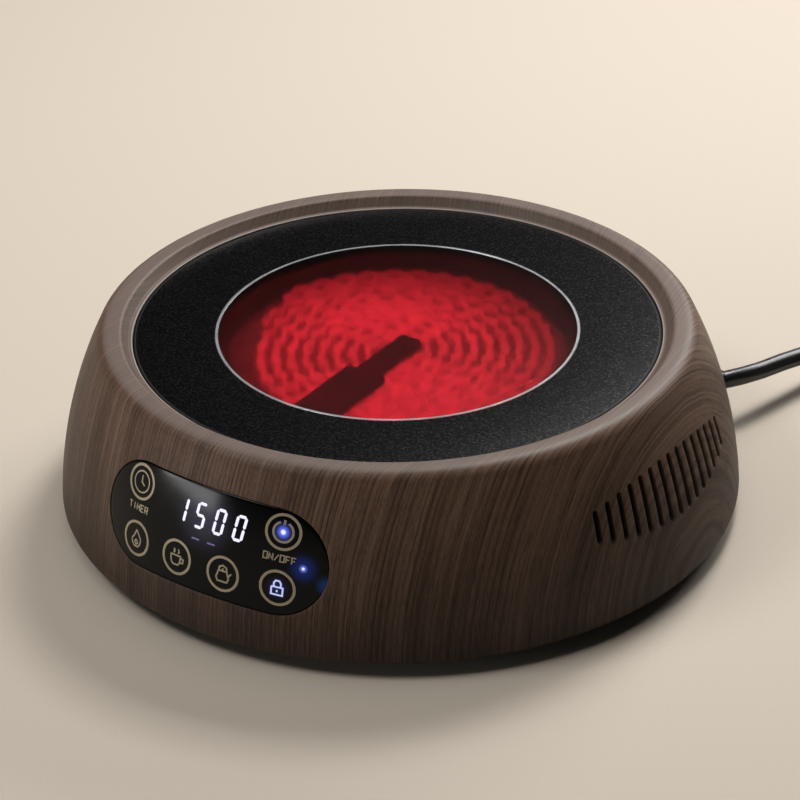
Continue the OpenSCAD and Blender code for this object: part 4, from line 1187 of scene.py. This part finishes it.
@dataclass
class Plate:
    """Glass disc with its border print and silver ring, over the glowing heater."""

    r: float = 90.0
    top: float = 63.2
    low: float = 59.2
    bevel: float = 0.7
    ring: Pair = (61.35, 62.3)
    border: float = 62.5

    def flat_ring(self, name: str, r0: float, r1: float, lift: float) -> Obj:
        """Thin printed ring on the glass."""
        base = self.top + 0.01
        return spun(name, [(r0, base), (r1, base), (r1 - lift, base + lift), (r0 + lift, base + lift)], 256)

    def build(self, glass: Mat, border: Mat, silver: Mat) -> None:
        """Model the disc and its prints and dress them.

        Args:
            glass: Finish of the disc.
            border: Finish of the border.
            silver: Finish of the ring.
        """
        b = self.bevel
        edge = rounded((0, self.top), (self.r, self.top), (self.r, self.low), b, 6)
        foot = rounded((self.r, self.top), (self.r, self.low), (0, self.low), 0.35, 3)
        disc = spun("glass_disc", [(0, self.top)] + edge + foot + [(0, self.low)], 256)
        settle(smooth(disc, 40), "glass_ceramic", glass, replaces=("glass_plate",))
        r0, z0 = self.border, self.top
        over, under = (rounded((0, z0 + h), (self.r + h, z0 + h), (self.r + h, self.low), b, 6)
                       for h in (0.04, 0.006))
        skin = [(r0, z0 + 0.006), (r0 + 0.03, z0 + 0.04)] + over
        skin += [(self.r + 0.04, z0 - 1.4), (self.r + 0.006, z0 - 1.4)] + under[::-1]
        settle(smooth(spun("border_print", skin, 256), 40), "gloss_black", border)
        settle(smooth(self.flat_ring("zone_ring", *self.ring, 0.06)), "steel", silver)


@dataclass
class Heater:
    """Ribbon pressed into its fibre bed, with the probe across it."""

    bed_r: float = 67.0
    zone_r: float = 59.3
    low: float = 35.0
    shelf: float = 49.0
    fill: float = 51.6

    def build(self, glowing: Mat, ceramic: Mat, fibre: Mat) -> None:
        """Model the bed, with its fibre drawn up round the ribbon, and dress ribbon and probe.

        Args:
            glowing: Finish of the ribbon.
            ceramic: Finish of the probe and its shoe.
            fibre: Finish of the bed.
        """
        z, s, f = self.zone_r, self.shelf, self.fill
        bank = rounded((z, s), (z - 0.6, f), (0, f), 1.2, 4)
        side = [(0, self.low), (self.bed_r, self.low), (self.bed_r, s), (z, s)]
        bed = spun("fibre_bed", side + bank + [(0, f)])
        settle(smooth(bed, 40), "insulation", fibre, replaces=("insulation_bed",))
        ribbon = merged_copy("heating_ribbon", "ribbon", 0.0, 50)
        settle(ribbon, "heating_alloy", glowing, replaces=("heating_ribbon",))
        for node, name, round_r in (("temp_probe", "probe", 0.8), ("probe_shoe", "shoe", 1.6)):
            settle(merged_copy(node, name, round_r), "ceramic", ceramic, replaces=(node,))


# Cord

def eased(share: float) -> float:
    """Share from 0 to 1 that starts and stops softly."""
    return (1 - math.cos(math.pi * max(0.0, min(1.0, share)))) / 2


@dataclass
class Cord:
    """Mains cord: out of the bushing, down to the table, into a two-layer coil and on to the plug."""

    gland: Gland
    d: float = 6.5
    lay_z: float = 4.6
    coil_c: Pair = (141.8, 177.7)
    coil_r: float = 45.0
    coil_in_a: float = 165.0
    pitch: float = 7.1
    turns: float = 2.5
    plug_z: float = 13.0
    plug_run: float = 16.0

    def coil_at(self, t: float) -> Vector:
        """Point of the coil after t turns.

        Args:
            t: Turns from the coil's start.
        Returns:
            The point in millimetres.
        """
        climb = max(0.0, min(1.0, (t - self.turns) / 0.5))
        total = 2 * self.turns + 0.5
        r = self.coil_r - self.pitch * self.turns
        r += self.pitch * max(0.0, self.turns - t, t - self.turns - 0.5)
        r -= 0.3 * self.pitch * math.sin(math.pi * climb)
        z = self.lay_z + self.pitch * eased(climb)
        z += (self.plug_z - self.lay_z - self.pitch) * eased(t - total + 1)
        a = math.radians(self.coil_in_a - 360 * t)
        return Vector((self.coil_c[0] + r * math.cos(a), self.coil_c[1] + r * math.sin(a), z))

    def route(self) -> list[Vector]:
        """Points that the cord runs through, in millimetres.

        Returns:
            The points.
        """
        g = self.gland
        start = g.out() * (g.spot_r + g.flange + g.nose) + Vector((0, 0, g.z))
        way_a = math.radians(self.coil_in_a - 90)
        way = Vector((math.cos(way_a), math.sin(way_a), 0))
        mouth = self.coil_at(0) - self.d * way
        drop = ((74.9, 105.6, 15.85), (76.4, 108.8, 15.6), (77.7, 112.6, 15.2), (79, 117, 14.6),
                (81.5, 127, 13.6), (84, 136.5, 12.4), (86.5, 146, 11), (89, 155.5, 9.4), (91.3, 164.2, 7.7),
                (93.3, 171.5, 6.2), (95, 177, 5.1))
        rings = 24
        total = 2 * self.turns + 0.5
        coil = [self.coil_at(i / rings) for i in range(round(total * rings) + 1)]
        end_a = math.radians(self.coil_in_a - 360 * total - 90)
        end = coil[-1] + self.plug_run * Vector((math.cos(end_a), math.sin(end_a), 0))
        lead = [start, start + 2 * g.out()] + [Vector(p) for p in drop]
        return lead + [mouth - 3 * way, mouth] + coil + [end]

    def smooth_route(self, parts: int = 3) -> list[Vector]:
        """The route with points between its points, on a smooth curve through them.

        Args:
            parts: Steps between one point of the route and the next.
        Returns:
            The points.
        """
        p = self.route()
        p = [2 * p[0] - p[1]] + p + [2 * p[-1] - p[-2]]
        fine = []
        for a, b, c, d in zip(p, p[1:], p[2:], p[3:]):
            for i in range(parts):
                t = i / parts
                fine.append(0.5 * (2 * b + (c - a) * t + (2 * a - 5 * b + 4 * c - d) * t ** 2
                                   + (3 * b - a - 3 * c + d) * t ** 3))
        return fine + [p[-2]]

    def build(self, jacket: Mat, tie: Mat, pins: Mat) -> None:
        """Args:
            jacket: Finish of the cord and plug.
            tie: Finish of the strap round the coil.
            pins: Finish of the plug's pins.
        """
        points = self.smooth_route()
        data = bpy.data.curves.new("mains_cord", "CURVE")
        data.dimensions = "3D"
        data.bevel_depth = self.d / 2 * MM
        data.bevel_resolution = 5
        data.use_fill_caps = True
        line = data.splines.new("POLY")
        line.points.add(len(points) - 1)
        for place, point in zip(line.points, points):
            place.co = (*(point * MM), 1)
        line.use_smooth = True
        cord = bpy.data.objects.new("mains_cord", data)
        bpy.context.scene.collection.objects.link(cord)
        settle(cord, "cord_jacket", jacket, replaces=("cord_lead", "cord_coil"))
        ends = (("cord_tie", "coil_strap", 0.25, 30, "silicone", tie),
                ("plug_body", "plug", 1.2, 25, "cord_jacket", jacket),
                ("plug_pins", "plug_prongs", 0.35, 30, "brass", pins))
        strap, plug, prongs = [settle(merged_copy(node, name, bevel, turn), slot, finish, replaces=(node,))
                               for node, name, bevel, turn, slot, finish in ends]


# Underside

@dataclass
class Base:
    """Feet, base cover and the fan that shows through its grille."""

    foot_r: float = 9.0
    foot_h: float = 6.2
    foot_circle: float = 95.0

    def build(self, rubber: Mat, plastic: Mat, steel: Mat) -> None:
        """Model the feet and dress the underside.

        Args:
            rubber: Finish of the feet.
            plastic: Finish of cover and fan.
            steel: Finish of the screws.
        """
        r, h = self.foot_r, self.foot_h
        profile = [(0, 0.7), (3.0, 0.7), (3.5, 0.5), (4.1, 0.0), (7.4, 0.0), (8.1, 0.25), (8.6, 1.0),
                   (8.8, 2.4), (r, 5.2), (r, h), (0, h)]
        for i in range(4):
            a = math.radians(45 + 90 * i)
            foot = smooth(spun(f"rubber_foot_{i + 1}", profile, 64), 40)
            shifted(foot, self.foot_circle * math.cos(a), self.foot_circle * math.sin(a))
            settle(foot, "rubber", rubber, replaces=(f"foot_{i + 1}",))
        below = (("base_cover", "base_plate", "black_plastic", plastic, BODY),
                 ("base_screws", "base_fixings", "steel", steel, BODY),
                 ("fan_frame", "fan_housing", "black_plastic", plastic, BODY),
                 ("fan_rotor", "fan_wheel", "black_plastic", plastic, "fan"))
        for node, name, slot, finish, body in below:
            settle(merged_copy(node, name), slot, finish, replaces=(node,), body=body)


# Finishes of the record's slots, for the nodes that stay as they are

SLOT_FINISHES: dict[str, Moulded | Lit] = {
    "silicone": Moulded("silicone", (0.03, 0.03, 0.032), 0.6),
    "circuit_board": Moulded("solder_mask", (0.02, 0.11, 0.05), 0.38, grain=700),
    "display_white": Moulded("clear_epoxy", (0.7, 0.7, 0.75), 0.3),
    "black_plastic": Moulded("black_plastic", (0.014, 0.014, 0.015), 0.52, mottle=0.35, relief=0.2),
    "steel": Moulded("plain_steel", (0.5, 0.51, 0.52), 0.34, 1.0, 2600),
    # The ribbon's glow is painted dimmer towards the back, away from (1, -15): painted shade.
    "heating_alloy": Lit("glowing_ribbon", (1.0, 0.105, 0.16), 1.5, 0.4, 260, (1.0, -15.0)),
    "insulation": Moulded("fibre_ring", (0.09, 0.08, 0.07), 0.9, grain=2200, mottle=0.2, relief=0.5),
    "ceramic": Moulded("fired_ceramic", (0.09, 0.068, 0.056), 0.7),
    "aluminium": Moulded("extruded_aluminium", (0.66, 0.67, 0.68), 0.32, 1.0),
    "brass": Moulded("tinned_brass", (0.66, 0.58, 0.42), 0.28, 1.0, 2400),
    "film_yellow": Moulded("film_box", (0.55, 0.34, 0.03), 0.35),
    "sleeve_blue": Moulded("shrink_sleeve", (0.02, 0.03, 0.09), 0.35),
    "rubber": Moulded("foot_rubber", (0.012, 0.012, 0.012), 0.75, relief=0.3),
    "cord_jacket": Moulded("cord_jacket", (0.007, 0.007, 0.008), 0.3, grain=1800, relief=0.08),
    "lead_jacket": Moulded("lead_sleeve", (0.42, 0.39, 0.35), 0.55),
}


def dress_nodes(finishes: dict[str, Mat]) -> None:
    """Give every CAD node that still shows the finish of its slot.

    Args:
        finishes: Material of each slot.
    """
    for part in frame["record"]["subparts"]:
        node, slot = part["node"], part["material_slot"]
        obj = frame["nodes"][node]
        if obj.hide_render or slot not in finishes:
            continue
        for place in obj.material_slots:
            place.material = finishes[slot]
        LOG.info("%s: %s", obj.name, finishes[slot].name)


# Studio

@dataclass(frozen=True)
class Softbox:
    """One soft lamp: where it hangs, what it points at, its size and power."""

    name: str
    place: tuple[float, float, float]
    aim: tuple[float, float, float]
    size: Pair
    power: float
    colour: tuple[float, float, float] = (1.0, 1.0, 1.0)

    def hang(self) -> None:
        """Add the lamp."""
        data = bpy.data.lights.new(self.name, "AREA")
        data.shape = "RECTANGLE"
        data.size, data.size_y = self.size
        data.energy = self.power
        data.color = self.colour
        lamp = bpy.data.objects.new(self.name, data)
        lamp.location = self.place
        lamp.rotation_euler = (Vector(self.aim) - Vector(self.place)).to_track_quat("-Z", "Y").to_euler()
        bpy.context.scene.collection.objects.link(lamp)


@dataclass
class Studio:
    """Pale floor, dim surround, soft lamps and the camera."""

    lens: float = 144.26
    eye: tuple[float, float, float] = (0.5471616, -0.7884364, 0.5907028)
    turn: tuple[float, float, float] = (59.91415, 1.0383876, 34.1388197)
    floor_tone: Colour = (0.50, 0.445, 0.378, 1)
    far_tone: Colour = (0.45, 0.40, 0.34, 1)
    far_span: Pair = (0.55, 1.7)
    horizon: Colour = (0.5, 0.47, 0.43, 1)
    above: Colour = (0.02, 0.02, 0.02, 1)
    surround: float = 0.8
    lamps: tuple[Softbox, ...] = (
        Softbox("overhead", (-0.2, 0.05, 1.6), (0, 0, 0), (1.3, 0.6), 7.6, (1.0, 0.97, 0.93)),
        Softbox("sheen", (-0.06, 0.56, 0.8), (0, 0, 0.06), (0.24, 0.2), 6.6, (1.0, 0.98, 0.95)),
        Softbox("window", (0.05, 1.3, 0.75), (0, 0, 0.05), (0.8, 0.45), 12.0, (1.0, 0.98, 0.96)),
        Softbox("front", (-0.62, -0.66, 1.3), (0, -0.05, 0.04), (0.6, 0.45), 9.5, (1.0, 0.98, 0.96)),
        Softbox("low", (-0.96, -1.22, 0.18), (0, 0, 0.04), (0.62, 0.22), 4.3, (1.0, 0.99, 0.98)),
    )

    def build(self) -> None:
        """Set the scene."""
        scene = bpy.context.scene
        scene.view_settings.view_transform = "Standard"
        data = bpy.data.cameras.new("camera")
        data.lens = self.lens
        data.sensor_width = 36.0
        data.clip_end = 30.0
        camera = bpy.data.objects.new("camera", data)
        camera.location = self.eye
        camera.rotation_euler = Euler([math.radians(a) for a in self.turn])
        scene.collection.objects.link(camera)
        scene.camera = camera
        self.build_floor()
        self.build_world()
        for lamp in self.lamps:
            lamp.hang()

    def build_floor(self) -> None:
        """Lay the plain floor, which stays pale where it runs off into the distance."""
        floor = spun("floor", [(0, 0), (8000, 0), (8000, -20), (0, -20)], 96)
        s = Sketch("floor_paper")
        cloud = s.noise(s.origin, 900, 2)
        pale = self.floor_tone
        low = tone(*(0.97 * c for c in pale[:3]))
        s.put(Base_Color=s.ramp(cloud, (0.3, low), (0.7, pale)), Roughness=0.8, Specular_IOR_Level=0.2)
        path = s.node("LightPath").outputs
        seen = s.math("MAXIMUM", path["Is Camera Ray"], s.math(
            "MAXIMUM", path["Is Glossy Ray"], path["Is Transmission Ray"]))
        away = s.node("VectorMath", s.origin, operation="LENGTH").outputs["Value"]
        s.put(Emission_Color=self.far_tone, Emission_Strength=s.math(
            "MULTIPLY", seen, s.span(away, *self.far_span, 0.0, 1.0, "SMOOTHSTEP")))
        floor.data.materials.append(s.material)

    def build_world(self) -> None:
        """Make the surround: pale at the horizon, dim above it."""
        world = bpy.data.worlds.new("surround")
        bpy.context.scene.world = world
        world.use_nodes = True
        tree = world.node_tree
        kinds = ("TexCoord", "SeparateXYZ", "ValToRGB")
        where, split, ramp = (tree.nodes.new("ShaderNode" + kind) for kind in kinds)
        back = tree.nodes["Background"]
        for source, node in ((where.outputs["Generated"], split), (split.outputs["Z"], ramp),
                             (ramp.outputs[0], back)):
            tree.links.new(source, node.inputs[0])
        for mark, spot, colour in zip(ramp.color_ramp.elements, (0.0, 0.2), (self.horizon, self.above)):
            mark.position, mark.color = spot, colour
        back.inputs[1].default_value = self.surround


def main() -> None:
    """Build every sub-assembly in order and report it."""
    logging.basicConfig(level=logging.INFO, format="%(message)s")
    slots = {name: finish.make() for name, finish in SLOT_FINISHES.items()}
    gland = Gland()
    body = Body()
    panel = Panel(body)
    Studio().build()
    Cord(gland).build(slots["cord_jacket"], slots["silicone"], slots["brass"])
    body.build(panel, gland, WoodGrain().make(), Moulded("shell_inside", (0.018, 0.013, 0.011), 0.6).make())
    gland.build(slots["cord_jacket"])
    panel.build_lens(GlossPanel().make(panel))
    panel.build_keys(Moulded("gold_print", (0.31, 0.262, 0.18), 0.4, 0.3, 2600, 0.15, 0.05).make(),
                     Lit("lit_sign", (0.55, 0.6, 1.0), 0.8).make())
    panel.build_digits(Lit("lit_segment", (0.80, 0.78, 1.0), 0.98).make(),
                       Lit("faint_mark", (0.16, 0.14, 0.36), 0.5).make())
    Plate().build(ClearGlass().make(), SpeckledPrint().make(),
                  Moulded("silver_print", (0.42, 0.43, 0.45), 0.3, 0.6, 2600, 0.1, 0.05).make())
    Base().build(slots["rubber"], slots["black_plastic"], slots["steel"])
    Heater().build(slots["heating_alloy"], slots["ceramic"],
                   Moulded("fibre_bed", (0.36, 0.31, 0.265), 0.9, grain=2200, mottle=0.25, relief=0.5).make())
    dress_nodes(slots)


if __name__ == "__main__":
    main()
